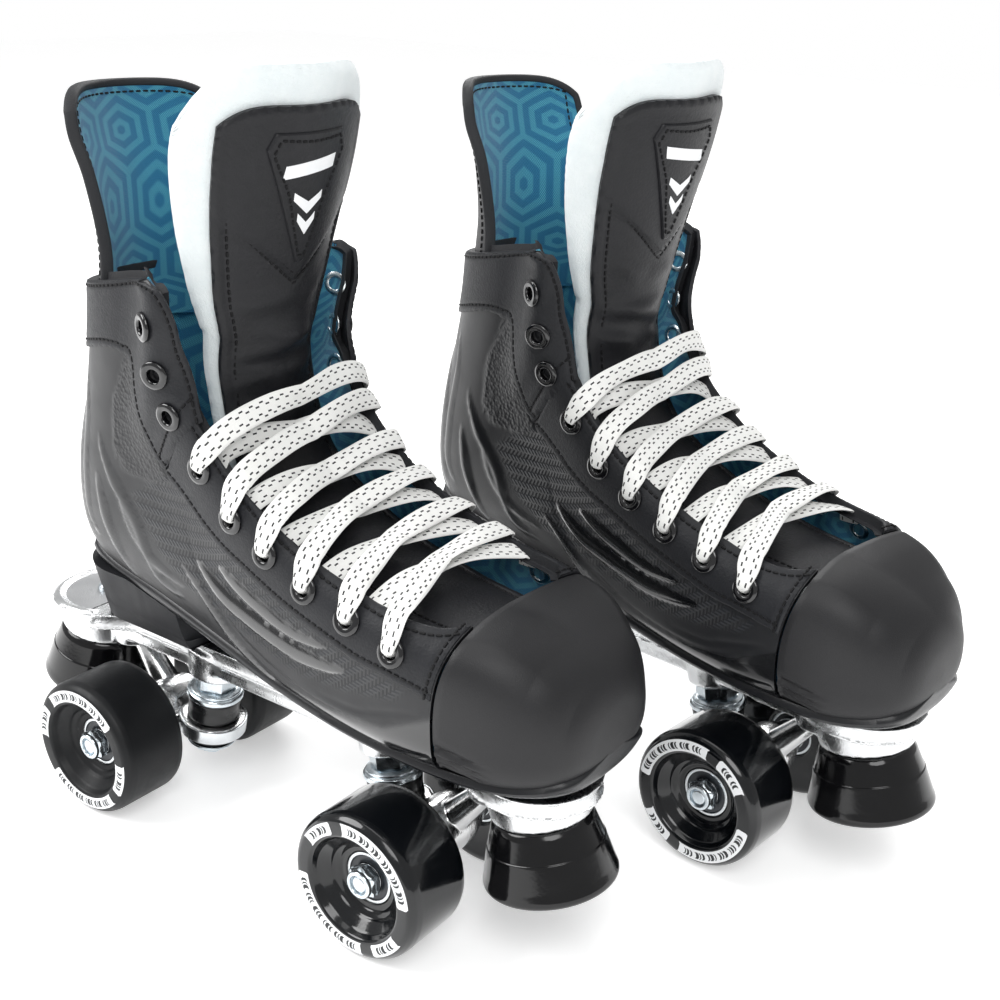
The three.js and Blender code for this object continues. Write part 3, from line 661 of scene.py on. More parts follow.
def boot_point(t, angle):
    """Point at fan position t and angle (0 sole, a quarter turn at the side, half a turn on top,
    positive on the inner side): half width times sine to the 2/power, and the height between
    sole and top by cosine to the 2/power below and above the widest place."""
    t, angle = np.broadcast_arrays(np.asarray(t, float), np.asarray(angle, float))
    angle = (angle + math.pi) % (2 * math.pi) - math.pi
    c = section(t)
    low = np.abs(angle) < math.pi / 2
    power = np.where(low, c[..., 7], c[..., 8])
    s = np.abs(np.sin(angle)) ** (2 / power)
    co = np.abs(np.cos(angle)) ** (2 / power)
    along = np.where(low, c[..., 6] * (1 - co), c[..., 6] + (1 - c[..., 6]) * co)
    point = np.stack([c[..., 5] + np.sign(angle) * c[..., 4] * s,
                      c[..., 0] + (c[..., 2] - c[..., 0]) * along,
                      c[..., 1] + (c[..., 3] - c[..., 1]) * along], -1)
    return point + splay(t, angle, c[..., 4] * s, np.maximum(c[..., 9], 23))


def splay(t, angle, half_x, throat):
    """Movement that stands the facings open: SPLAY at the throat's edge, eased in from the side
    of the boot; between the edges it falls in a line to nothing at the middle."""
    x, y, z = (np.interp(t, SPLAY[:, 0], SPLAY[:, k]) for k in (1, 2, 3))
    limit = upper_angle(t, throat)
    outside = smoothstep((np.abs(angle) - SPLAY_START) / (limit - SPLAY_START))
    weight = np.where(np.abs(angle) < limit, outside, np.minimum(half_x / throat, 1))
    return np.stack([np.sign(angle) * x, y, z], -1) * weight[..., None]


def boot_normal(t, angle):
    """Outward direction: the cross product of the steps along the fan and round the section."""
    step = 0.02
    t, angle = np.broadcast_arrays(np.asarray(t, float), np.asarray(angle, float))
    safe = np.clip(t, 3 * step, LAST - 2 * step)
    off = np.where(np.abs(np.sin(angle)) < 1e-6, angle + 1e-3, angle)
    along = boot_point(safe + step, off) - boot_point(safe - step, off)
    around = boot_point(safe, off + step) - boot_point(safe, off - step)
    normal = unit(np.cross(along, around))
    return np.where((t < step)[..., None], [0.0, -1.0, 0.0], normal)


def boot(t, angle, lift=0.0):
    """The boot surface moved out by lift."""
    return boot_point(t, angle) + boot_normal(t, angle) * np.asarray(lift, float)[..., None]


def upper_angle(t, x):
    """Angle at which the section reaches half width x above its widest place."""
    c = section(np.asarray(t, float))
    return math.pi - np.arcsin(np.minimum(np.abs(x) / np.maximum(c[..., 4], 1e-6), 1) ** (c[..., 8] / 2))


def even_fan(t0, t1, rows):
    """Fan positions at equal distances along the side of the boot."""
    fine = np.linspace(t0, t1, 800)
    at = lengths(boot_point(fine, math.radians(100)))
    return np.interp(np.linspace(0, at[-1], rows), at, fine), np.linspace(0, at[-1], rows)


def boot_grid(t0, t1, limit, rows, half_columns):
    """Fan positions, angles and UVs of a grid whose columns are equally spaced round each
    section from -limit(t) to +limit(t). UVs are millimetres along the fan and round it."""
    t, u = even_fan(t0, t1, rows)
    share = np.linspace(0, 1, 400)
    angles, widths = [], []
    for fan, top in zip(t, limit(t)):
        spots = share * top
        at = lengths(boot_point(fan, np.maximum(spots, 1e-6)))
        angles.append(np.interp(np.linspace(0, at[-1], half_columns), at, spots))
        widths.append(np.linspace(0, at[-1], half_columns) - at[-1])
    half, v = np.array(angles), np.array(widths)
    angle = np.concatenate([-half[:, :0:-1], half], 1)
    uv = np.stack(np.broadcast_arrays(u[:, None], np.concatenate([v[:, :0:-1], v], 1)), -1)
    return np.repeat(t[:, None], angle.shape[1], 1), angle, uv


def degrees_line(knots, samples=120):
    """A smooth line on the boot through [fan position, degrees] knots: positions, angles, points."""
    rows = catmull(knots, samples)
    t, angle = rows[:, 0], np.radians(rows[:, 1])
    return t, angle, boot_point(t, angle)


def throat_limit(t):
    """Angle of the throat's edge."""
    return upper_angle(t, section(t)[..., 9])


# Eyelets on one side: fan position and degrees from the sole; the first three are free.
EYELETS = np.array([[13.31, 110], [11.66, 117], [9.9, 119], [8.54, 125], [7.66, 127],
                    [7.02, 131], [6.47, 132], [5.93, 133], [5.35, 129]])
FREE_EYELETS = 3

# Raised ribs of the side shell: knots, half width, height, gloss.
RIBS = [
    ([[8.28, 91], [7.88, 90], [7.51, 90], [6.68, 93], [6.23, 98], [5.87, 104]], 3.6, 2.0, 1.0),
    ([[7.84, 98], [7.51, 98], [7.17, 99], [6.62, 102], [6.12, 110]], 3.2, 1.7, 1.0),
    ([[12.24, 74], [11.1, 79], [9.72, 78], [8.93, 62], [8.41, 65]], 2.6, 1.3, 0.35),
    ([[11.75, 78], [10.4, 80], [9.16, 69], [8.41, 73]], 2.4, 1.1, 0.3),
    ([[11.58, 70], [10.8, 67], [9.97, 59], [9.35, 43]], 2.6, 1.3, 0.4),
    ([[8.58, 84], [8.01, 79], [7.51, 66], [7.17, 55], [6.83, 50], [6.1, 50], [5.2, 62]], 2.6, 1.2, 0.6),
    ([[13.5, 22], [12.8, 40], [12.1, 48], [11.2, 44], [10.6, 40]], 2.6, 1.2, 0.4),
    ([[13.4, 52], [12.7, 58], [11.9, 57], [11.2, 52], [10.5, 51]], 2.2, 1.0, 0.3),
]
GROOVES = [
    ([[8.75, 97], [7.9, 84], [7.3, 76], [6.6, 74], [5.9, 80], [5.2, 92]], 1.2, 0.7),
    ([[12.9, 30], [12.2, 33], [11.5, 30], [11.0, 26]], 1.4, 0.8),
    ([[5.4, 66], [4.95, 72], [4.75, 76]], 1.3, 0.7),
    ([[6.3, 84], [5.6, 90], [4.9, 100]], 1.2, 0.6),
]
GLOSS_PATCH = [[7.6, 60], [6.9, 66], [6.2, 76], [5.4, 88], [4.6, 104], [4.6, 62], [5.4, 52], [6.4, 46],
               [7.1, 46]]
PEBBLE_PATCH = [[13.3, 92], [12.6, 84], [11.6, 84], [10.6, 88], [9.6, 94], [9.3, 101], [10.6, 102],
                [12, 100], [13, 95]]
WEAVE_PATCH = [[10.2, 84], [9.0, 76], [8.3, 74], [7.4, 80], [6.6, 84], [5.9, 92], [5.2, 100], [5.0, 112],
               [6.3, 115], [7.4, 112], [8.6, 106], [9.5, 102]]


def inside(t, degrees, outline):
    """1 where a point lies inside an outline in (fan position, degrees), else 0: an odd number
    of crossings of a line to one side."""
    corners = np.asarray(outline, float)
    following = np.roll(corners, -1, 0)
    crossings = np.zeros(t.shape, int)
    for (t1, d1), (t2, d2) in zip(corners, following):
        spans = (d1 > degrees) != (d2 > degrees)
        with np.errstate(divide="ignore", invalid="ignore"):
            where = t1 + (degrees - d1) * (t2 - t1) / (d2 - d1)
        crossings += (spans & (t < where)).astype(int)
    return crossings % 2


def soft_patch(t, angle, points, outline, edge):
    """Mark that rises from 0 at an outline to 1 at `edge` millimetres inside it."""
    closed = np.array([*outline, outline[0]], float)
    line = boot_point(closed[:, 0], np.radians(closed[:, 1]))
    border = evenly(line, line, 200)
    distance, _ = nearest(points, border)
    return inside(t, np.degrees(angle), outline) * smoothstep(distance / edge)


def shell_relief(t, angle):
    """Height, weave, pebble and gloss of the side shell for one half of its grid. A rib is
    a parabola across its line, steeper below, faded at its ends; a groove is a bell, downward."""
    points = boot_point(t, angle)
    height = np.zeros(t.shape)
    gloss = np.zeros(t.shape)
    for knots, half_width, rise, shine in RIBS:
        _, line_angle, line = degrees_line(knots)
        distance, index = nearest(points, line)
        fade = np.sin(math.pi * np.clip(index / (len(line) - 1), 0, 1)) ** 0.5
        above = np.sign(angle - line_angle[index])
        flank = np.where(above > 0, half_width * 1.7, half_width * 0.85)
        ridge = np.clip(1 - (distance / (flank * fade + 0.01)) ** 2, 0, 1) ** 0.8
        height = np.maximum(height, rise * ridge * fade)
        gloss = np.maximum(gloss, shine * smoothstep(ridge * 4))
    for knots, half_width, depth in GROOVES:
        _, _, line = degrees_line(knots)
        distance, index = nearest(points, line)
        fade = np.sin(math.pi * np.clip(index / (len(line) - 1), 0, 1)) ** 0.5
        height = height - depth * np.exp(-(distance / half_width) ** 2) * fade
    patch = soft_patch(t, angle, points, GLOSS_PATCH, 3)
    gloss = np.maximum(gloss, 0.9 * patch)
    pebble = soft_patch(t, angle, points, PEBBLE_PATCH, 1.5)
    weave = soft_patch(t, angle, points, WEAVE_PATCH, 4) * (1 - smoothstep(gloss * 1.5))
    height = height + 0.6 * pebble
    return height, weave, pebble, gloss


def both_halves(half):
    return np.concatenate([half[:, :0:-1], half], 1)


def eyelet_dimples(points):
    """Depth of the eyelet holes at each point: a smooth pit three millimetres in radius."""
    spots = [boot_point(t, sign * math.radians(d)) for t, d in EYELETS for sign in (-1, 1)]
    distance, _ = nearest(points, np.array(spots))
    return 2.6 * (1 - smoothstep((distance - 2.2) / 1.4))


UPPER_ROWS, UPPER_HALF = 236, 96


def make_upper(side):
    t, angle, uv = boot_grid(CAP_END + SEAM, LAST, throat_limit, UPPER_ROWS, UPPER_HALF)
    half = slice(UPPER_HALF - 1, None)
    relief = shell_relief(t[:, half], angle[:, half])
    height, weave, pebble, gloss = (both_halves(part) for part in relief)
    height = height - eyelet_dimples(boot_point(t, angle)) * 0.7
    marks = {"weave": weave, "pebble": pebble, "gloss": gloss}
    solid = thick(boot(t, angle, height), boot(t, angle, np.full(t.shape, -SKIN)), uv=uv, marks=marks)
    build("side_shell", side, solid, "skate", SHELL, ["boot_shell"])


def make_lining(side):
    """The mesh lining between the skin and the inside, a little short of every edge."""
    t, angle, uv = boot_grid(CAP_END + 0.1, LAST - 0.02, lambda t: throat_limit(t) - 0.01, 110, 50)
    outer = boot(t, angle, np.full(t.shape, -SKIN - 0.05))
    build("lining", side, thick(outer, boot(t, angle, np.full(t.shape, -LINING_DEPTH)), uv=uv),
          "skate", LINING)


# ---------------------------------------------------------------- leather overlays
EYESTAY_LOWER = [[9.42, 101], [8.54, 105], [7.73, 108], [7.26, 111], [6.72, 113], [6.15, 115], [5.72, 114],
                 [5.38, 114], [4.93, 112], [4.74, 110]]
COLLAR_LOWER = [[13.75, 0], [13.72, 25], [13.68, 48], [13.6, 68], [13.45, 82], [13.2, 90], [12.71, 95],
                [11.92, 99], [10.79, 101], [9.9, 101], [9.48, 102]]
COLLAR_UPPER = [[14.96, 0], [14.96, 28], [14.96, 55], [14.96, 80], [14.96, 98], [14.9, 110], [14.3, 119],
                [13.0, 126], [11.3, 131], [10.0, 134.5], [9.05, 137]]
OVERLAY = 1.0


def border_lines(lower, upper, samples):
    """Two borders of an overlay in (fan position, angle), sampled evenly along the lower one."""
    low = catmull(lower, 400)
    high = catmull(upper, 400)
    where = boot_point(low[:, 0], np.radians(low[:, 1]))
    low, high = evenly(low, where, samples), evenly(high, where, samples)
    scale = np.array([1, math.pi / 180])
    return low * scale, high * scale


def overlay_grid(low, high, columns):
    """Grid of (fan position, angle) ruled between two borders."""
    v = np.linspace(0, 1, columns)[None, :, None]
    ruled = low[:, None] * (1 - v) + high[:, None] * v
    return ruled[..., 0], ruled[..., 1]


def inset_line(low, high, inset):
    """The line `inset` millimetres from the lower border towards the upper one."""
    gap = np.linalg.norm(boot_point(*low.T) - boot_point(*high.T), axis=1)
    share = np.clip(inset / np.maximum(gap, 1e-6), 0, 1)[:, None]
    return low * (1 - share) + high * share


def overlay_relief(points, outline, seams, top=OVERLAY):
    """Lift of an overlay: a quarter round over its outline, and a dip along each seam."""
    distance, _ = nearest(points, evenly(outline, outline, 700))
    lift = top * np.sqrt(np.clip(1 - (1 - np.clip(distance / 1.2, 0, 1)) ** 2, 0, 1))
    for seam in seams:
        distance, _ = nearest(points, evenly(seam, seam, 400))
        lift = lift - 0.35 * np.exp(-(distance / 0.8) ** 2)
    return lift


def seam_thread(line, lift, sign=1.0, **settings):
    """Stitches along a line of (fan position, angle) on the boot."""
    t, angle = line[:, 0], line[:, 1] * sign
    return stitches(boot(t, angle, np.full(t.shape, lift)), boot_normal(t, angle), **settings)


def make_eyestays(side):
    """Leather facings from the toe cap to the ankle, one on each side, with a border seam."""
    low, _ = border_lines(EYESTAY_LOWER, EYESTAY_LOWER, 150)
    high = np.stack([low[:, 0], throat_limit(low[:, 0])], 1)
    high[:, 1] = np.where(high[:, 0] > 8.6, throat_limit(np.minimum(high[:, 0], 15)), high[:, 1])
    t, angle = overlay_grid(low, high, 46)
    seams = [inset_line(low, high, 2.6), inset_line(high, low, 3.4)]
    front = np.stack([np.full(40, 4.82), np.linspace(low[-1, 1], high[-1, 1], 40)], 1)
    seams.append(front)
    solids, threads = [], []
    for sign in (-1, 1):
        base = boot_point(t, angle * sign)
        outline = np.concatenate([base[:, 0], base[-1], base[::-1, -1], base[0, ::-1]])
        lines = [boot_point(s[:, 0], s[:, 1] * sign) for s in seams]
        lift = overlay_relief(base, outline, lines) - eyelet_dimples(base)
        solids.append(thick(boot(t, angle * sign, lift), boot(t, angle * sign, np.full(t.shape, -0.6))))
        threads += [seam_thread(s, OVERLAY - 0.2, sign) for s in seams]
    build("eyestays", side, solids, "skate", LEATHER)
    build("eyestay_seams", side, threads, "skate", THREAD)


def make_collar(side):
    """One leather panel that carries the free eyelets on both sides and runs round the ankle."""
    low, high = border_lines(COLLAR_LOWER, COLLAR_UPPER, 110)
    mirror = np.array([1, -1])
    low = np.concatenate([low[:0:-1] * mirror, low])
    high = np.concatenate([high[:0:-1] * mirror, high])
    t, angle = overlay_grid(low, high, 48)
    seams = [inset_line(low, high, 2.6), inset_line(high, low, 3.6)]
    for end in (4, -5):
        seams.append(np.stack([t[end], angle[end]], 1)[3:-3])
    base = boot_point(t, angle)
    outline = np.concatenate([base[:, 0], base[-1], base[::-1, -1], base[0, ::-1]])
    lines = [boot_point(s[:, 0], s[:, 1]) for s in seams]
    lift = overlay_relief(base, outline, lines, 1.4) - eyelet_dimples(base)
    solid = thick(boot(t, angle, lift), boot(t, angle, np.full(t.shape, -0.6)))
    build("ankle_panel", side, solid, "skate", LEATHER)
    threads = [seam_thread(s, 1.15) for s in seams]
    build("ankle_panel_seams", side, threads, "skate", THREAD)


def make_edge_tape(side):
    """Folded tape over the raw edge of the throat and collar: a rounded channel section carried
    up one facing, round the collar and down the other."""
    t_up = np.linspace(CAP_END + 0.15, LAST, 150)
    up = np.stack([t_up, throat_limit(t_up)], 1)
    around = np.linspace(float(throat_limit(np.array([float(LAST)]))[0]), 0, 60)[1:]
    over = np.stack([np.full(around.shape, float(LAST)), around], 1)
    half = np.concatenate([up, over])
    line = np.concatenate([half, (half * [1, -1])[-2::-1]])
    path = boot_point(line[:, 0], line[:, 1])
    line = evenly(line, path, 420)
    path = boot_point(line[:, 0], line[:, 1])
    normal = boot_normal(line[:, 0], line[:, 1])
    tangent = unit(np.gradient(path, axis=0))
    inward = np.cross(normal, tangent)
    middle = np.array([0, 20, 150.0])
    inward *= np.sign(((middle - path) * inward).sum(-1).sum()) * -1
    profile = rounded([[-0.3, 0.5], [-0.6, -1.0], [-0.5, -4.6], [2.9, -4.7], [3.1, -4.2], [0.1, -3.9],
                       [0.1, 0.2], [-0.3, 0.5]], 0.4, 4)[:-1]
    points = (path[:, None] + inward[:, None] * profile[None, :, 0:1]
              + normal[:, None] * profile[None, :, 1:2])
    n = len(profile)
    faces = [grid_faces(len(path), n, False, True), np.arange(n)[None, ::-1],
             np.arange((len(path) - 1) * n, len(path) * n)[None]]
    build("edge_tape", side, Solid(points, faces), "skate", EDGE_TAPE)


def make_eyelets(side):
    """Black enamelled eyelets outside and nickel washers inside, each turned round the boot's
    outward direction."""
    barrel = [[2.6, -1.2], [2.6, 0.8], [3.1, 1.4], [4.5, 1.5], [5.6, 1.0], [5.9, 0.1], [5.0, -0.4],
              [3.2, -1.2]]
    washer = [[2.6, 0], [2.8, 0.7], [3.8, 0.9], [5.0, 0.5], [5.2, 0]]
    rings, washers = [], []
    for row, (t, degrees) in enumerate(EYELETS):
        for sign in (-1, 1):
            angle = sign * math.radians(degrees)
            normal = boot_normal(t, angle)
            proud = OVERLAY + (0.4 if row < FREE_EYELETS else 0)
            rings.append(closed_turn(barrel, boot_point(t, angle) + normal * proud, normal, 28, 0.35))
            inside_boot = boot_point(t, angle) - normal * LINING_DEPTH
            washers.append(closed_turn(washer, inside_boot, -normal, 24, 0.3))
    build("eyelets", side, rings, "skate", ENAMEL)
    build("eyelet_washers", side, washers, "skate", NICKEL)


# ---------------------------------------------------------------- toe cap, soles and heel
def make_toe_cap(side):
    """The moulded cap: the boot surface up to its rear edge, with four slanted louvres low on
    each side, cut as grooves that deepen towards the rear."""
    rows, columns = 110, 220
    tip = np.linspace(0, 1, 26) ** 1.3 * 1.2
    t = np.concatenate([tip, np.linspace(1.2, CAP_END - SEAM, rows - 25)[1:]])
    angle = np.linspace(-math.pi, math.pi, columns, endpoint=False) + math.pi / columns
    t, angle = np.meshgrid(t, angle, indexing="ij")
    points = boot_point(t, angle)
    lift = np.full(t.shape, 0.4)
    for k in range(4):
        top = 86 - 9 * k
        for sign in (-1, 1):
            knots = np.array([[4.62, top], [4.2, top - 1.5], [3.7 + 0.12 * k, top - 4]])
            rows_ = catmull(knots, 60)
            line = boot_point(rows_[:, 0], sign * np.radians(rows_[:, 1]))
            distance, index = nearest(points, line)
            fade = 1 - (index / 59) ** 1.5
            lift = lift - 2.2 * fade * np.exp(-(distance / (0.6 + 1.1 * fade)) ** 2)
    rim = smoothstep((t - (CAP_END - 0.12)) / 0.1)
    lift = lift - 0.5 * rim
    inner = boot(t, angle, np.full(t.shape, -3.0))
    solid = thick(boot(t, angle, lift), inner, ring=True)
    build("toe_cap", side, solid, "skate", CAP, ["toe_cap"])


def sole_limit(t):
    """Angle of the outsole's edge, drawn in at the toe and under the heel."""
    return np.radians(np.interp(t, [0.7, 1.1, 1.6, 2.2, 7.5, 10.9], [24, 38, 50, 58, 58, 30.8]))


def make_outsole(side):
    """Outsole: the boot's underside offset, with a rolled bead along its edge."""
    t, angle, uv = boot_grid(0.7, 10.9, sole_limit, 150, 48)
    edge = np.minimum(np.abs(np.abs(angle) - sole_limit(t)) * 26, (10.9 - t) * 14)
    edge = np.minimum(edge, (t - 0.7) * 18)
    roll = np.sqrt(np.clip(1 - (1 - np.clip(edge / 2.4, 0, 1)) ** 2, 0, 1))
    depth = 0.4 + 2.3 * smoothstep((t - 0.7) / 1.6)
    solid = thick(boot(t, angle, 0.2 + depth * roll), boot(t, angle, np.full(t.shape, -0.4)), uv=uv)
    build("outsole", side, solid, "skate", SOLE, ["outsole"])


def make_footbed(side):
    t, angle, uv = boot_grid(1.6, 10.2, lambda t: np.full(t.shape, math.radians(48)), 60, 16)
    solid = thick(boot(t, angle, np.full(t.shape, -5.0)), boot(t, angle, np.full(t.shape, -8.0)), uv=uv)
    build("footbed", side, solid, "skate", LINING, ["footbed"])


def make_heel_wedge(side):
    """Heel lift: a D-shaped outline carried from the plate up to the sole, widening on the way,
    with a moulded line round its middle."""
    straight = 26
    turn = np.linspace(0, math.pi, 60)

    def outline(half_width, front, back):
        y = np.linspace(front, back - half_width, straight)[:-1]
        arc = np.stack([half_width * np.cos(turn), back - half_width + half_width * np.sin(turn)], 1)
        right = np.stack([np.full(y.shape, half_width), y], 1)
        left = right[::-1] * [-1, 1]
        ahead = np.stack([np.linspace(-half_width, half_width, 20)[1:-1], np.full(18, front)], 1)
        return np.concatenate([right, arc, left, ahead])

    low, high = outline(19, 47, 112), outline(29, 44, 116)
    t, angle = np.meshgrid(np.linspace(6.8, 11.9, 130), np.radians(np.linspace(-86, 86, 90)), indexing="ij")
    sole = boot(t, angle, np.full(t.shape, 3.2)).reshape(-1, 3)
    rows = []
    for share in (0, 0.02, 0.06, 0.3, 0.34, 0.38, 0.42, 0.7, 1.0):
        ring = low * (1 - share) + high * share
        ring = ring * (1 - 0.02 * (share < 0.01) - 0.012 * (share == 0.38))
        flat = np.concatenate([ring, np.zeros((len(ring), 1))], 1)
        _, index = nearest(flat, sole * [1, 1, 0])
        top = np.minimum(sole[index, 2], 106)
        rows.append(np.concatenate([ring, (76.9 + (top - 76.9) * share)[:, None]], 1))
    shape = np.array(rows)
    n = shape.shape[1]
    faces = [grid_faces(len(rows), n, False, True), np.arange(n)[None, ::-1],
             np.arange((len(rows) - 1) * n, len(rows) * n)[None]]
    build("heel_wedge", side, Solid(shape, faces), "skate", WEDGE, ["heel_wedge"],
          sharp=50)


# ---------------------------------------------------------------- tongue
TONGUE_BASE = [(4.35, 25, 4.5), (4.95, 27, 4.5), (5.6, 28, 4.5), (6.4, 28.6, 5), (7.2, 29, 6.5),
               (8.0, 29, 9)]
TONGUE_ROWS = [[6.5, 209, 28.5, 13], [3, 225, 31, 16], [0, 245, 38, 18], [-4, 265, 44, 20],
               [-9, 290, 49, 20], [-15, 326, 49, 18]]
TONGUE_THICK = 8.0
TONGUE_TOP, TONGUE_FOOT = 326, 209
TONGUE_CORNER = 24
HINGE_START, HINGE_END = (0, 18, 196), (0, 18, 222)
ON_TONGUE = ("skate", "tongue_flap", HINGE_START, HINGE_END)
LEATHER_INSET = [(100, 3), (209, 4), (235, 6), (255, 9), (285, 12), (326, 13)]


def tongue_spine():
    """Centre line of the tongue's face: rows of y, z, half width and bow, first along the
    underside of the facings, then up the standing part."""
    rows = []
    for t, half_width, bow in TONGUE_BASE:
        _, y, z = boot(t, math.pi, -5.8)
        rows.append([y, z, half_width, bow])
    rows = catmull([*rows, *TONGUE_ROWS], 400)
    return evenly(rows, rows[:, :2], 400)


SPINE = tongue_spine()
SPINE_AT = lengths(SPINE[:, :2])


def tongue_frame(s):
    """y, z, half width and bow at distance s along the spine, with its tangent and normal."""
    row = np.stack([np.interp(s, SPINE_AT, SPINE[:, k]) for k in range(4)], -1)
    ahead = np.stack([np.interp(s + 1.5, SPINE_AT, SPINE[:, k]) for k in (0, 1)], -1)
    behind = np.stack([np.interp(s - 1.5, SPINE_AT, SPINE[:, k]) for k in (0, 1)], -1)
    tangent = unit(ahead - behind)
    return row, tangent, np.stack([-tangent[..., 1], tangent[..., 0]], -1)


def tongue_point(s, x, lift=0.0):
    """Point at distance s up the spine and x millimetres across: the edges sit `bow` behind
    the middle and the top corners are rounded down."""
    s, x, lift = np.broadcast_arrays(*(np.asarray(v, float) for v in (s, x, lift)))
    row, tangent, normal = tongue_frame(s)
    v = x / row[..., 2]
    back = row[..., 3] * v ** 2
    rise = np.clip((row[..., 1] - TONGUE_FOOT) / (TONGUE_TOP - TONGUE_FOOT), 0, 1)
    drop = TONGUE_CORNER * np.abs(v) ** 5 * np.maximum(0, (rise - 0.6) / 0.4) ** 2
    slope = 2 * row[..., 3] * v / row[..., 2]
    tilt = np.sqrt(1 + slope ** 2)
    forward = (lift / tilt - back)[..., None] * normal - drop[..., None] * tangent
    return np.stack([x + lift * slope / tilt, row[..., 0] + forward[..., 0],
                     row[..., 1] + forward[..., 1]], -1)


def tongue_normal(s, x):
    return unit(tongue_point(s, x, 1.0) - tongue_point(s, x, 0.0))


def tongue_height_to_s(z):
    """Distance up the spine of a height z on the standing part."""
    return np.interp(z, SPINE[:, 1], SPINE_AT)


def leather_half_width(s):
    row, _, _ = tongue_frame(s)
    inset = np.interp(row[..., 1], *zip(*LEATHER_INSET))
    return row[..., 2] - inset


def tongue_creases(points):
    """Folds where the tongue bends at the ankle: soft bells along a few slanted lines."""
    folds = [((-24, 214), (16, 224), 1.5, 4.0), ((-16, 227), (24, 219), 1.2, 3.5),
             ((-25, 236), (4, 240), 0.9, 4.0), ((2, 206), (26, 212), 1.4, 3.5),
             ((-26, 203), (-4, 209), 1.2, 3.5), ((6, 236), (26, 246), 0.8, 4.0)]
    height = np.zeros(points.shape[:2])
    for (x1, z1), (x2, z2), rise, width in folds:
        f = np.linspace(0, 1, 40)
        line = tongue_point(tongue_height_to_s(z1 + (z2 - z1) * f), x1 + (x2 - x1) * f)
        distance, index = nearest(points, line)
        height += rise * np.exp(-(distance / width) ** 2) * np.sin(math.pi * index / 39)
    return height


def make_tongue(side):
    """Thick felt with a leather face: the felt is a pad with round edges, the leather a sheet
    with a folded rim, a border seam and a V seam."""
    top = SPINE_AT[-1]
    s, v = np.meshgrid(np.linspace(0, top, 150), np.linspace(-1, 1, 61), indexing="ij")
    row, _, _ = tongue_frame(s)
    x = v * row[..., 2]
    base = tongue_point(s, x)
    outline = np.concatenate([base[:, 0], base[-1], base[::-1, -1], base[0, ::-1]])
    distance, _ = nearest(base, evenly(outline, outline, 600))
    round_off = 1 - np.sqrt(np.clip(1 - (1 - np.clip(distance / 4.0, 0, 1)) ** 2, 0, 1))
    wave = 0.35 * np.sin(s / 13) * np.sin(x / 7 + 1)
    felt = build("tongue_felt", side, thick(tongue_point(s, x, -0.5 + wave - 3.4 * round_off),
                 tongue_point(s, x, -TONGUE_THICK + wave + 3.4 * round_off)),
                 ON_TONGUE, FELT, ["tongue", "tongue_base"])
    leather_top = top - 14
    s, v = np.meshgrid(np.linspace(0, leather_top, 170), np.linspace(-1, 1, 73), indexing="ij")
    s = s - 6.5 * np.abs(v) ** 6 * smoothstep((s - leather_top + 40) / 40)
    x = v * leather_half_width(s)
    base = tongue_point(s, x)
    outline = np.concatenate([base[:, 0], base[-1], base[::-1, -1]])
    distance, _ = nearest(base, evenly(outline, outline, 700))
    rim = np.sqrt(np.clip(1 - (1 - np.clip(distance / 0.9, 0, 1)) ** 2, 0, 1))
    strip = 0.7 * (1 - smoothstep((distance - 3.6) / 0.7))
    f = np.linspace(-1, 1, 121)
    seam_s = tongue_height_to_s(246 + 25 * np.abs(f) ** 1.1)
    seam_x = f * (leather_half_width(seam_s) - 1)
    seam = tongue_point(seam_s, seam_x)
    gap, _ = nearest(base, seam)
    below = smoothstep((np.abs(x) / leather_half_width(s) * 25 + 246 - base[..., 2]) / 1.2 + 0.5)
    lift = rim * 1.3 + strip * rim + tongue_creases(base) * (1 - strip) + 0.7 * (1 - below) * (1 - strip)
    lift = lift - 0.5 * np.exp(-(gap / 0.9) ** 2)
    face = thick(tongue_point(s, x, lift), tongue_point(s, x, np.full(s.shape, -1.2)))
    build("tongue_leather", side, face, ON_TONGUE, TONGUE_LEATHER)
    threads = []
    border = np.concatenate([np.stack([s[:-6, 0], x[:-6, 0] + 4.9], 1),
                             np.stack([s[-7, 6:-6] + 1.5, x[-7, 6:-6] * 0.985], 1),
                             np.stack([s[:-6, -1], x[:-6, -1] - 4.9], 1)[::-1]])
    along = tongue_point(border[:, 0], border[:, 1], 1.35)
    threads.append(stitches(along, tongue_normal(*border.T), 3.1, 2.2))
    for shift in (-1.6, 2.0):
        line_s = seam_s + shift
        line_x = seam_x * 0.9
        lift_at = 1.5 if shift > 0 else 1.1
        along = tongue_point(line_s, line_x, lift_at)
        threads.append(stitches(along, tongue_normal(line_s, line_x), 3.1, 2.2))
    build("tongue_seams", side, threads, ON_TONGUE, THREAD)


BADGE = [[-17, 303], [17, 303], [20, 297], [1.5, 253], [-1.5, 253], [-20, 297]]


def tongue_patch(outline, lift, low, columns=26):
    """A thin flat body on the tongue's face inside an outline of [x, z] corners, drawn as rings
    that shrink from the outline to its middle."""
    corners = np.array([*outline, outline[0]], float)
    edge = evenly(corners, corners, 160)[:-1]
    middle = edge.mean(0)
    share = np.concatenate([[1.0, 0.985], np.linspace(0.96, 0, columns)])
    rings = middle + (edge - middle) * share[:, None, None]
    s, x = tongue_height_to_s(rings[..., 1]), rings[..., 0]
    rise = np.interp(share, [0.96, 1.0], [1, 0])[:, None] ** 0.5 * (lift - low) + low
    top = tongue_point(s, x, np.broadcast_to(rise, s.shape))
    n = len(edge)
    under = tongue_point(s[:1], x[:1], np.full((1, n), low - 0.8))
    shut = tongue_point(s[-1:], x[-1:], np.full((1, n), low - 0.8))
    points = np.concatenate([shut, under, top])
    return Solid(points, [grid_faces(len(points), n, False, True)])


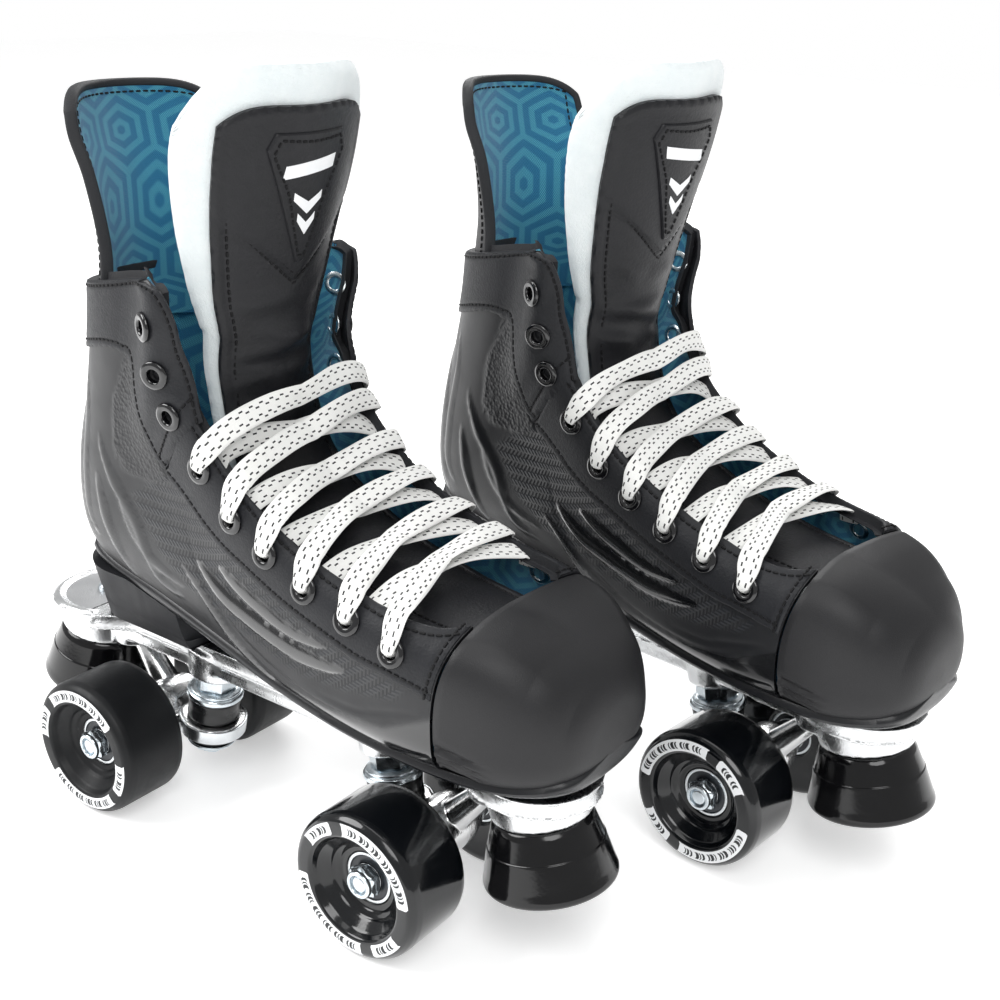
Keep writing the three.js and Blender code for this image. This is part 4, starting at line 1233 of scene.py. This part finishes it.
def make_badge(side):
    """A five-sided leather badge with a folded rim, a seam and a plain printed emblem: a
    slanted bar over two chevrons."""
    build("tongue_badge", side, tongue_patch(BADGE, 3.1, 1.9), "tongue_flap", TONGUE_LEATHER)
    corners = np.array([*BADGE, BADGE[0]], float)
    line = evenly(corners, corners, 240)
    middle = line.mean(0)
    reach = np.maximum(np.linalg.norm(line - middle, axis=1), 1)
    inner = middle + (line - middle) * (1 - 3.4 / reach)[:, None]
    s = tongue_height_to_s(inner[:, 1])
    thread = stitches(tongue_point(s, inner[:, 0], 3.15), tongue_normal(s, inner[:, 0]), 3.0, 2.1)
    build("badge_seam", side, thread, "tongue_flap", THREAD)
    marks = [[[-12, 291], [13, 294], [12, 289], [-13, 286]]]
    for drop in (0, 8):
        marks.append([[-7 + drop / 3, 281 - drop], [0, 276 - drop], [7 - drop / 3, 281 - drop],
                      [7 - drop / 3, 278 - drop], [0, 272.5 - drop], [-7 + drop / 3, 278 - drop]])
    prints = []
    for mark in marks:
        prints.append(tongue_patch(mark, 3.3, 3.0, 4))
    build("badge_emblem", side, prints, "tongue_flap", PRINT)


# ---------------------------------------------------------------- tendon guard
GUARD_ROWS = [[92.5, 214, 38, -27], [92.3, 226, 37, -29], [92, 237.5, 36, -30], [91, 255, 34, -27],
              [92, 280, 36, -24], [95, 296, 37, -21], [97, 312, 36, -20]]
GUARD_WALL = 4.0


def guard_point(u, v, depth):
    """Point on the guard at share u up and v from -1 to 1 across, `depth` behind its front face:
    a strip whose edges bow forward, with its top corners rounded down."""
    rows = catmull(GUARD_ROWS, 300)
    at = np.linspace(0, 1, 300)
    u, v, depth = np.broadcast_arrays(u, v, np.asarray(depth, float))
    y, z, half_width, bow = (np.interp(u, at, rows[:, k]) for k in range(4))
    drop = 8 * np.abs(v) ** 6 * np.maximum(0, (u - 0.75) / 0.25) ** 2
    slope = 2 * bow * v / half_width
    tilt = np.sqrt(1 + slope ** 2)
    return np.stack([v * half_width - slope / tilt * depth, y + bow * v ** 2 + depth / tilt, z - drop], -1)


def make_guard(side):
    """Mesh lining in front, leather behind and a rolled edge tape round both, with seams."""
    u, v = np.meshgrid(np.linspace(0, 1, 90), np.linspace(-1, 1, 61), indexing="ij")
    shrink = 0.985
    uv = np.stack([v * 37, u * 98], -1)
    lining = thick(guard_point(u, v * shrink, 0.3), guard_point(u, v * shrink, 2.0), uv=uv)
    build("guard_lining", side, lining, "skate", LINING)
    puff = 0.5 * np.sin(math.pi * (v + 1) / 2)
    back = thick(guard_point(u, v * shrink, GUARD_WALL - 0.4 + puff), guard_point(u, v * shrink, 2.0))
    build("guard_leather", side, back, "skate", LEATHER, ["tendon_guard"])
    up = np.linspace(0.2, 1, 120)
    over = np.linspace(-1, 1, 80)
    line = np.concatenate([np.stack([up, -np.ones(120)], 1), np.stack([np.ones(80), over], 1)[1:-1],
                           np.stack([up, np.ones(120)], 1)[::-1]])
    path = guard_point(line[:, 0], line[:, 1], 2.0)
    line = evenly(line, path, 300)
    path = guard_point(line[:, 0], line[:, 1], GUARD_WALL / 2)
    out = unit(guard_point(line[:, 0], line[:, 1], -1.0) - guard_point(line[:, 0], line[:, 1], 1.0))
    inward = unit(np.cross(unit(np.gradient(path, axis=0)), out))
    inward *= np.sign(((np.array([0, 80, 270]) - path) * inward).sum())
    tape = swept(path + inward * 1.2, out, 1.7, GUARD_WALL / 2 + 0.45, 14, 3.0)
    build("guard_tape", side, tape, "skate", EDGE_TAPE)
    threads = []
    inner = line.copy()
    inner[:, 1] = np.clip(inner[:, 1], -1 + 4.6 / 36, 1 - 4.6 / 36)
    inner[:, 0] = np.clip(inner[:, 0], 0, 1 - 4.8 / 98)
    for depth, sign in ((0.2, -1), (GUARD_WALL, 1)):
        place = guard_point(inner[:, 0], inner[:, 1], depth)
        threads.append(stitches(place, out * -sign, 3.1, 2.2, 0.4))
    build("guard_seams", side, threads, "skate", THREAD)


# ---------------------------------------------------------------- laces
LACE_HALF_WIDTH = 4.7
LACE_HALF_THICKNESS = 0.75
PINCH_LENGTH = 15.0               # run over which a lace narrows into an eyelet


def lace_strand(knots, narrow_start=True, narrow_end=True):
    """A flat lace through [fan position, degrees, lift] knots, pinched where it enters an
    eyelet: its half width falls over the last few millimetres while its thickness grows."""
    rows = catmull(knots, 240)
    angle = np.radians(rows[:, 1])
    path = boot(rows[:, 0], angle, rows[:, 2])
    up = boot_normal(rows[:, 0], angle)
    both = evenly(np.concatenate([path, up], 1), path, 90)
    path, up = both[:, :3], both[:, 3:]
    at = lengths(path)
    pinch = np.ones(len(at))
    if narrow_start:
        pinch *= smoothstep(at / PINCH_LENGTH)
    if narrow_end:
        pinch *= smoothstep((at[-1] - at) / PINCH_LENGTH)
    half_width = 2.2 + (LACE_HALF_WIDTH - 2.2) * pinch
    twist = 0.22 * np.sin(at / 9 + knots[0][0] * 3) * pinch
    tangent = unit(np.gradient(path, axis=0))
    aside = np.cross(tangent, up)
    up = up * np.cos(twist)[:, None] + aside * np.sin(twist)[:, None]
    return swept(path, up, half_width, LACE_HALF_THICKNESS * (1 + 0.9 * (1 - pinch)), 14, 2.8)


def make_laces(side):
    """Six strands over the throat from each outer eyelet up to the next inner row, and five
    beneath them that run back under the facings."""
    rows = EYELETS[FREE_EYELETS:]
    hand = np.array([1, 1 if side == "right" else -1, 1])
    strands = []
    for k, (t, degrees) in enumerate(rows):
        t_in, degrees_in = rows[max(k - 1, 0)] if k else (9.05, 122)
        t_mid = (t + t_in) / 2
        high = 5.5 + 0.8 * (k % 2)
        strands.append([[t, -degrees, -1.5], [t + 0.02, -degrees - 1, 2.6],
                        [t * 0.93 + t_in * 0.07, -degrees - 9, 3.6],
                        [t * 0.8 + t_in * 0.2, -degrees - 19, 3.4],
                        [t_mid * 0.6 + t * 0.4, -163, high - 1.5],
                        [t_mid, -180, high], [t_mid * 0.6 + t_in * 0.4, -197, high - 1.5],
                        [t_in * 0.85 + t * 0.15, -360 + degrees_in + 17, 3.2],
                        [t_in * 0.97 + t * 0.03, -360 + degrees_in + 7, 3.2],
                        [t_in, -360 + degrees_in + 1, 2.4], [t_in, -360 + degrees_in, -1.5]])
    under = []
    for k in range(len(rows) - 1):
        t, degrees = rows[k + 1]
        t_up, degrees_up = rows[k]
        a, b = t * 0.75 + t_up * 0.25, t * 0.15 + t_up * 0.85
        under.append([[b, -degrees_up - 6, -4.9], [b * 0.85 + a * 0.15, -150, -2.2],
                      [(a + b) / 2, -180, 1.6], [a * 0.85 + b * 0.15, -210, -2.2], [a, -360 + degrees + 6, -4.9]])
    solids = [lace_strand(knots * hand) for knots in map(np.array, strands)]
    solids += [lace_strand(knots * hand, False, False) for knots in map(np.array, under)]
    build("laces", side, solids, "skate", LACE, ["laces"])


# ---------------------------------------------------------------- trucks, wheels and plate
WHEEL_RADIUS = 31.0
AXLE_Y = 79.5
KINGPIN_TILT = math.radians(9.2)
STOP_TILT = math.radians(12)
RING = (55.8, 30.5)
PIVOT = (103.0, 58.0)
STOP_TOP = (128.0, 58.0)
PLATE_TOP = 76.6
DECK_BOTTOM = 69.0
FACE_X = 56.0                    # outer face of a wheel
BEARING_X = (24.1, 39.1)         # inner faces of its two bearings
BEARING_WIDTH = 7.0


def tilted(end, angle):
    return np.array([0, -end * math.sin(angle), math.cos(angle)])


def at_end(end, place):
    return np.array([0, end * place[0], place[1]])


def with_voxels(piece, size, smoothing):
    """Fuses a piece's overlapping solids into one skin with soft inner corners, as a casting
    has: a voxel remesh and a few rounds of smoothing."""
    remesh = piece.modifiers.new("skin", "REMESH")
    remesh.mode = "VOXEL"
    remesh.voxel_size = size * MM
    smooth = piece.modifiers.new("soften", "SMOOTH")
    smooth.iterations = smoothing
    smooth.factor = 0.5
    skin = bpy.data.meshes.new_from_object(piece.evaluated_get(bpy.context.evaluated_depsgraph_get()))
    piece.modifiers.clear()
    piece.data = skin
    skin.shade_smooth()


def slab(outline, bottom, top, bevel=1.0):
    """An outline in x and y carried between two heights, drawn in by `bevel` at both."""
    p = np.asarray(outline, float)
    tangent = unit(np.roll(p, -1, 0) - np.roll(p, 1, 0))
    out = np.stack([tangent[:, 1], -tangent[:, 0]], 1)
    rows = [np.column_stack([p - out * b, np.full(len(p), z)])
            for b, z in ((bevel, bottom), (0, bottom + bevel), (0, top - bevel), (bevel, top))]
    n = len(p)
    faces = [grid_faces(4, n, False, True), np.arange(n)[None, ::-1], np.arange(3 * n, 4 * n)[None]]
    return Solid(np.array(rows), faces)


def block(middle, size, bevel=1.0, turn_x=0.0):
    """A block with beveled upright edges, turned about its own X axis."""
    w, d, h = (v / 2 for v in size)
    outline = rounded([[0, -d], [w, -d], [w, d], [-w, d], [-w, -d], [0, -d]], bevel, 4)[:-1]
    solid = slab(outline, -h, h, bevel * 0.8)
    c, s = math.cos(turn_x), math.sin(turn_x)
    rotate = np.array([[1, 0, 0], [0, c, -s], [0, s, c]])
    solid.points = solid.points @ rotate.T + np.asarray(middle, float)
    return solid


def plate_outline():
    """Half the plan of the plate from the tail round to the nose, then mirrored: two round ends
    joined to a narrow waist by S curves."""
    tail = np.linspace(math.pi / 2, 0, 24)
    nose = np.linspace(0, -math.pi / 2, 24)
    f = np.linspace(0, 1, 14)[1:-1, None]

    def bend(a, b, c, d):
        return (1 - f) ** 3 * a + 3 * f * (1 - f) ** 2 * b + 3 * f ** 2 * (1 - f) * c + f ** 3 * d

    right = np.concatenate([
        np.stack([27 * np.cos(tail), 121 + 27 * np.sin(tail)], 1),
        bend(*np.array([[27, 121], [27, 103], [12, 100], [12, 84]], float)),
        np.stack([np.full(60, 12.0), np.linspace(84, -88, 60)], 1),
        bend(*np.array([[12, -88], [12, -102], [25, -105], [25, -125]], float)),
        np.stack([25 * np.cos(nose), -125 + 25 * np.sin(nose)], 1)])
    left = right[::-1][1:-1] * [-1, 1]
    return np.concatenate([right, left])


def make_plate(side):
    """The cast plate: a waisted deck with rails, ribs, bosses and a bullnose tail, fused into one
    casting, with a blasted top face at the tail."""
    outline = plate_outline()
    solids = [slab(outline, DECK_BOTTOM, PLATE_TOP, 1.2)]
    for x in (-9.5, 9.5):
        solids.append(block((x, 0, 65.8), (4, 176, 8), 1.2))
    for y in (-40, -14, 14, 40):
        solids.append(block((0, y, 66.5), (20, 3, 6), 0.8))
    turn = np.linspace(-0.5, math.pi + 0.5, 60)
    rim = np.stack([24.6 * np.cos(turn), 121 + 24.6 * np.sin(turn), np.full(60, 73.6)], 1)
    solids.append(swept(rim, np.broadcast_to(UP, rim.shape), 3.0, 4.6, 16, 2.2))
    for end in ENDS.values():
        axis = tilted(end, KINGPIN_TILT)
        boss = [[0, 27.7], [13, 27.7], [13.4, 36], [15, 43], [0, 43]]
        solids.append(turned(boss, at_end(end, RING), axis))
        solids.append(turned([[0, 57], [11.5, 57], [12.5, 66], [14, 70], [0, 70]], (0, end * 106, 0), UP))
        solids.append(turned([[0, 0.3], [20, 0.3], [20.6, 3], [21.5, 12], [21.5, 13.5], [0, 13.5]],
                             at_end(end, STOP_TOP), tilted(end, STOP_TILT)))
        for x in (-9, 9):
            solids.append(block((x, end * 94, 66), (4, 34, 10), 1.0))
    piece = build("plate", side, solids, "skate", PLATE_METAL, ["plate"])
    with_voxels(piece, 0.9, 6)
    top = plate_outline()
    inset = top[(top[:, 1] > 108)]
    middle = np.array([0, 121.0])
    face = middle + (inset - middle) * 0.83
    build("plate_tail_face", side, slab(face, PLATE_TOP - 0.5, PLATE_TOP + 0.25, 0.2), "skate",
          DECK_METAL)
    bolts = [bolt_head((0, 124, PLATE_TOP + 0.2), UP, 5.2)]
    build("plate_bolts", side, bolts, "skate", ZINC)


def bolt_head(at, direction, radius):
    """A domed bolt head with a socket."""
    return turned([[0, -1], [radius, -1], [radius, 0.6], [radius * 0.93, 1.9], [radius * 0.7, 3.0],
                   [radius * 0.42, 3.4], [radius * 0.38, 1.6], [0, 1.6]], at, direction, 32, 0.3)


def make_stops(side):
    """Toe and heel stops: a flared rubber cone with a rounded foot and a fine mould line."""
    profile = [[0, 0], [18.6, 0], [19.5, -0.8], [20.6, -2.4], [23.1, -11], [23.5, -11.3], [23.7, -12],
               [26, -22], [26.9, -25], [26.9, -26.6], [25.8, -28], [0, -28]]
    for name, end in (("toe_stop", -1), ("heel_stop", 1)):
        solid = turned(profile, at_end(end, STOP_TOP), tilted(end, STOP_TILT), 96, 0.7)
        build(name, side, solid, "skate", STOPPER, [name])


def make_hanger(side, name, end):
    """The cast hanger: axle arms that taper to the bearings, the eye round the cushions and the
    arm to the pivot, fused, with a machined band round the eye."""
    hub, ring, pivot = at_end(end, (AXLE_Y, WHEEL_RADIUS)), at_end(end, RING), at_end(end, PIVOT)
    axis = tilted(end, KINGPIN_TILT)
    arm = pivot - hub
    reach = np.linalg.norm(arm)
    solids = [closed_turn([[8, -3.5], [15.0, -3.5], [15.0, 3.5], [8, 3.5]], ring, axis, 72, 0.6)]
    beam = [[0, -23.6], [7.2, -23.6], [7.6, -20], [10.2, -13], [12.2, -8], [12.5, 0], [12.2, 8], [10.2, 13],
            [7.6, 20], [7.2, 23.6], [0, 23.6]]
    solids.append(turned(beam, hub, ACROSS, 48, 1.0))
    solids.append(turned([[0, 0], [7.4, 0], [6.2, reach * 0.5], [4.8, reach], [0, reach]], hub, arm, 32))
    angle = np.linspace(-math.pi / 2, math.pi / 2, 14)
    ball = np.stack([5.4 * np.cos(angle), 5.4 * np.sin(angle)], 1)
    solids.append(turned(ball, pivot, UP, 32, 0))
    web = rounded([[0, 10], [13.5, 10], [19, 25.5], [-19, 25.5], [-13.5, 10], [0, 10]], 2, 4)[:-1]
    plate = slab(web, -3, 3, 1.0)
    c, s = math.cos(KINGPIN_TILT), math.sin(KINGPIN_TILT)
    plate.points = plate.points @ np.array([[1, 0, 0], [0, c, -s], [0, s, c]]).T + [0, RING[0], RING[1]]
    if end < 0:
        plate.points = plate.points * [-1, -1, 1]
    solids.append(plate)
    piece = build(f"{name}_hanger", side, solids, f"{name}_truck", TRUCK_METAL,
                  [f"{name}_hanger"])
    with_voxels(piece, 0.7, 4)
    band = closed_turn([[14.2, -3.2], [15.5, -3.2], [15.5, 3.2], [14.2, 3.2]], ring, axis, 96, 0.3)
    shoulder = [closed_turn([[5.0, x * 23.0], [7.5, x * 23.0], [7.5, x * 23.7], [5.0, x * 23.7]],
                            hub, ACROSS, 48, 0.1) for x in (-1, 1)]
    build(f"{name}_hanger_bands", side, [band, *shoulder], f"{name}_truck", BEARING)


def make_axle(side, name, end):
    """Axle rod with a lock nut at each end: a chamfered hexagon, its round collar and the
    rod's end standing proud."""
    hub = at_end(end, (AXLE_Y, WHEEL_RADIUS))
    tip = FACE_X - 4
    rod = [[0, -tip], [3.0, -tip], [3.9, -tip + 1], [3.9, tip - 1], [3.0, tip], [0, tip]]
    solids = [turned(rod, hub, ACROSS, 32)]
    start = BEARING_X[1] + BEARING_WIDTH + 0.3
    for sign in (-1, 1):
        out = ACROSS * sign
        solids.append(hexagon(7.3, start, start + 4.6, hub, out, 0.7))
        collar = [[4.1, start + 4.4], [6.0, start + 4.4], [5.7, start + 6.0], [4.1, start + 6.2]]
        solids.append(closed_turn(collar, hub, out, 40, 0.4))
    build(f"{name}_axle", side, solids, f"{name}_truck", ZINC, [f"{name}_axle"])


def make_kingpin(side, name, end):
    """Kingpin bolt with its hexagon head, thick cup washer, retainer and lock nut."""
    at, axis = at_end(end, RING), tilted(end, KINGPIN_TILT)
    solids = [turned([[0, -14.6], [4.0, -14.6], [4.9, -13.6], [4.9, 39], [0, 39]], at, axis, 32),
              hexagon(9.8, 19.6, 27.3, at, axis, 1.2),
              turned([[0, 18.0], [11.6, 18.0], [11.6, 19.2], [9.5, 19.9], [0, 19.9]], at, axis, 64),
              turned([[0, 15.1], [12.6, 15.1], [13.0, 15.8], [12.8, 17.4], [12.0, 18.2], [0, 18.2]],
                     at, axis, 72),
              turned([[0, -9.8], [11.0, -9.8], [11.5, -9.2], [11.5, -8.6], [11.2, -8.3], [0, -8.3]],
                     at, axis, 64),
              hexagon(8.2, -14.0, -9.7, at, axis, 0.8)]
    build(f"{name}_kingpin", side, solids, "skate", ZINC, [f"{name}_kingpin"])


def make_cushions(side, name, end):
    """The two cushions: barrels with a slight waist between the plate's kingpin and the hanger."""
    at, axis = at_end(end, RING), tilted(end, KINGPIN_TILT)
    upper = [[5.4, 3.8], [11.2, 3.8], [12, 5.0], [11.5, 9.4], [12, 13.8], [11.4, 15], [5.4, 15]]
    lower = [[5.4, -8], [10.2, -8], [11, -7.2], [11, -4.6], [10.4, -3.8], [5.4, -3.8]]
    shapes = {"upper": (upper, 14.6, 4.2), "lower": (lower, -7.9, -3.9)}
    for place, (profile, fixed, moving) in shapes.items():
        build(f"{name}_{place}_cushion", side, closed_turn(profile, at, axis, 64, 0.5),
              ("skate", f"{name}_truck", at + axis * fixed, at + axis * moving),
              CUSHION, [f"{name}_{place}_cushion"])


WHEEL_PROFILE = [[11.2, 22.5], [26.6, 22.5], [28.6, 23.1], [30.3, 24.6], [31, 27], [31, 39], [31, 51],
                 [30.4, 53.6], [28.9, 55.4], [27.4, 56], [22.6, 56], [21.6, 55.4], [20.4, 52.6],
                 [16.8, 49.4], [16.2, 48.3], [14.4, 47.4], [13.4, 46.3], [11.2, 46.3]]
LABEL_ARCS = [(8, 102), (116, 150), (188, 282), (296, 330)]


def label(at, out, start, stop):
    """A thin printed arc on a wheel's face with slanted ends, and dark bars of mixed widths on
    it that stand for its marking."""
    _, first, second = side_directions(out)

    def band(low, high, a, b, lift, material):
        radius = np.array([low, low + 0.8, high - 0.8, high])
        angle = np.radians(np.linspace(a, b, max(int((b - a) / 3), 3)))
        theta = angle[:, None] + np.radians([0, -1.6, -1.6, 0])
        spoke = np.cos(theta)[..., None] * first + np.sin(theta)[..., None] * second
        face = np.minimum(FACE_X, FACE_X - 0.4 * (radius - 27.4))[None, :, None]
        points = [at + spoke * radius[None, :, None] + np.asarray(out) * (face + rise)
                  for rise in (lift, -0.5)]
        return thick(points[0], points[1], material=material)

    bands = [band(22.9, 28.1, start, stop, 0.14, 0)]
    bar = start + 6
    for k in range(40):
        wide = (2.4, 1.2, 3.4, 1.8)[k % 4]
        if bar + wide > stop - 6:
            break
        bands.append(band(24.0, 27.0, bar, bar + wide, 0.22, 1))
        bar += wide + (1.8, 1.4, 4.5)[k % 3]
    return bands


def make_wheel(side, name, end, which):
    """Urethane wheel with a deep stepped hub, its printed arcs, and two shielded bearings."""
    sign = WHEELS[which]
    out = ACROSS * sign
    hub = at_end(end, (AXLE_Y, WHEEL_RADIUS))
    body = f"{name}_{which}_wheel_set"
    worn = name == "rear"
    wheel = f"{name}_{which}_wheel"
    build(wheel, side, closed_turn(WHEEL_PROFILE, hub, out, 128, 0.7), body,
          WORN_WHEEL if worn else WHEEL, [wheel], sharp=50)
    turn = 35 if worn else 0
    prints = [band for a, b in LABEL_ARCS for band in label(hub, out, a + turn, b + turn)]
    build(f"{wheel}_print", side, prints, body, [PRINT, INK])
    rings, shields = [], []
    near, far = BEARING_X[0], BEARING_X[1] + BEARING_WIDTH
    for start, stop in ((near, near + BEARING_WIDTH), (far - BEARING_WIDTH, far)):
        rings.append(closed_turn([[9.6, start], [11, start], [11, stop], [9.6, stop]], hub, out, 64, 0.3))
        rings.append(closed_turn([[4.4, start], [6.2, start], [6.2, stop], [4.4, stop]], hub, out, 48, 0.2))
        shield = [[6.4, start + 0.5], [9.4, start + 0.4], [9.4, stop - 0.4], [6.4, stop - 0.5]]
        shields.append(closed_turn(shield, hub, out, 64, 0.2, 1))
    spacer = closed_turn([[4.4, near + BEARING_WIDTH], [6, near + BEARING_WIDTH], [6, far - BEARING_WIDTH],
                          [4.4, far - BEARING_WIDTH]], hub, out, 32, 0.1)
    bearings = f"{name}_{which}_bearings"
    build(bearings, side, [*rings, *shields, spacer], body, [BEARING, SHIELD], [bearings])


# ---------------------------------------------------------------- floor and light
# Name, place in metres, width in metres and power in watts of each round soft light.
LIGHTS = [("key", (-0.9, -0.9, 1.5), 1.0, 14), ("top", (0.1, 0.1, 1.9), 1.4, 9),
          ("rim", (1.1, 0.8, 0.9), 0.9, 8), ("side", (-0.8, 0.95, 1.15), 1.0, 20)]


def make_stage():
    """A flat pale floor that glows a little, a white surround and four large soft lights."""
    low = CAD_BOX[0][2]
    across = np.linspace(-4, 4, 9)
    profile = np.array([[4.0, 0], [-3.0, 0]])
    mesh = bpy.data.meshes.new("floor")
    points = [[x, y, low - 0.0002 + z] for y, z in profile for x in across]
    mesh.from_pydata(points, [], grid_faces(2, 9)[:, ::-1].tolist())
    material, _, _ = new_material("floor_paint", Base_Color="#fbfbfb", Roughness=0.6,
                                          Emission_Color="#ffffff", Emission_Strength=0.45)
    mesh.materials.append(material)
    floor = bpy.data.objects.new("floor", mesh)
    bpy.context.scene.collection.objects.link(floor)
    world = bpy.data.worlds.new("studio")
    world.use_nodes = True
    world.node_tree.nodes["Background"].inputs["Color"].default_value = (1, 1, 1, 1)
    tree = world.node_tree
    seen = add(tree, "ShaderNodeLightPath").outputs["Is Camera Ray"]
    tree.links.new(spread(tree, seen, 0.0, 1.0, 0.55, 1.0), tree.nodes["Background"].inputs["Strength"])
    bpy.context.scene.world = world
    bpy.context.scene.view_settings.view_transform = "Standard"
    middle = np.array([0, 0, 0.15])
    for name, place, size, power in LIGHTS:
        light = bpy.data.objects.new(name, bpy.data.lights.new(name, "AREA"))
        light.data.shape = "DISK"
        light.data.size = size
        light.data.energy = power
        back = unit(np.array(place) - middle)
        right = unit(np.cross(UP, back))
        columns = np.stack([right, np.cross(back, right), back, np.array(place)], 1)
        light.matrix_world = Matrix([*columns.tolist(), [0, 0, 0, 1]])
        bpy.context.scene.collection.objects.link(light)


# ---------------------------------------------------------------- assembly
make_camera()
for skate_side in SIDES:
    make_upper(skate_side)
    make_lining(skate_side)
    make_eyestays(skate_side)
    make_collar(skate_side)
    make_edge_tape(skate_side)
    make_eyelets(skate_side)
    make_toe_cap(skate_side)
    make_outsole(skate_side)
    make_footbed(skate_side)
    make_heel_wedge(skate_side)
    make_tongue(skate_side)
    make_badge(skate_side)
    make_guard(skate_side)
    make_laces(skate_side)
    make_plate(skate_side)
    make_stops(skate_side)
    for truck, truck_end in ENDS.items():
        make_hanger(skate_side, truck, truck_end)
        make_axle(skate_side, truck, truck_end)
        make_kingpin(skate_side, truck, truck_end)
        make_cushions(skate_side, truck, truck_end)
        for wheel_side in WHEELS:
            make_wheel(skate_side, truck, truck_end, wheel_side)
make_stage()
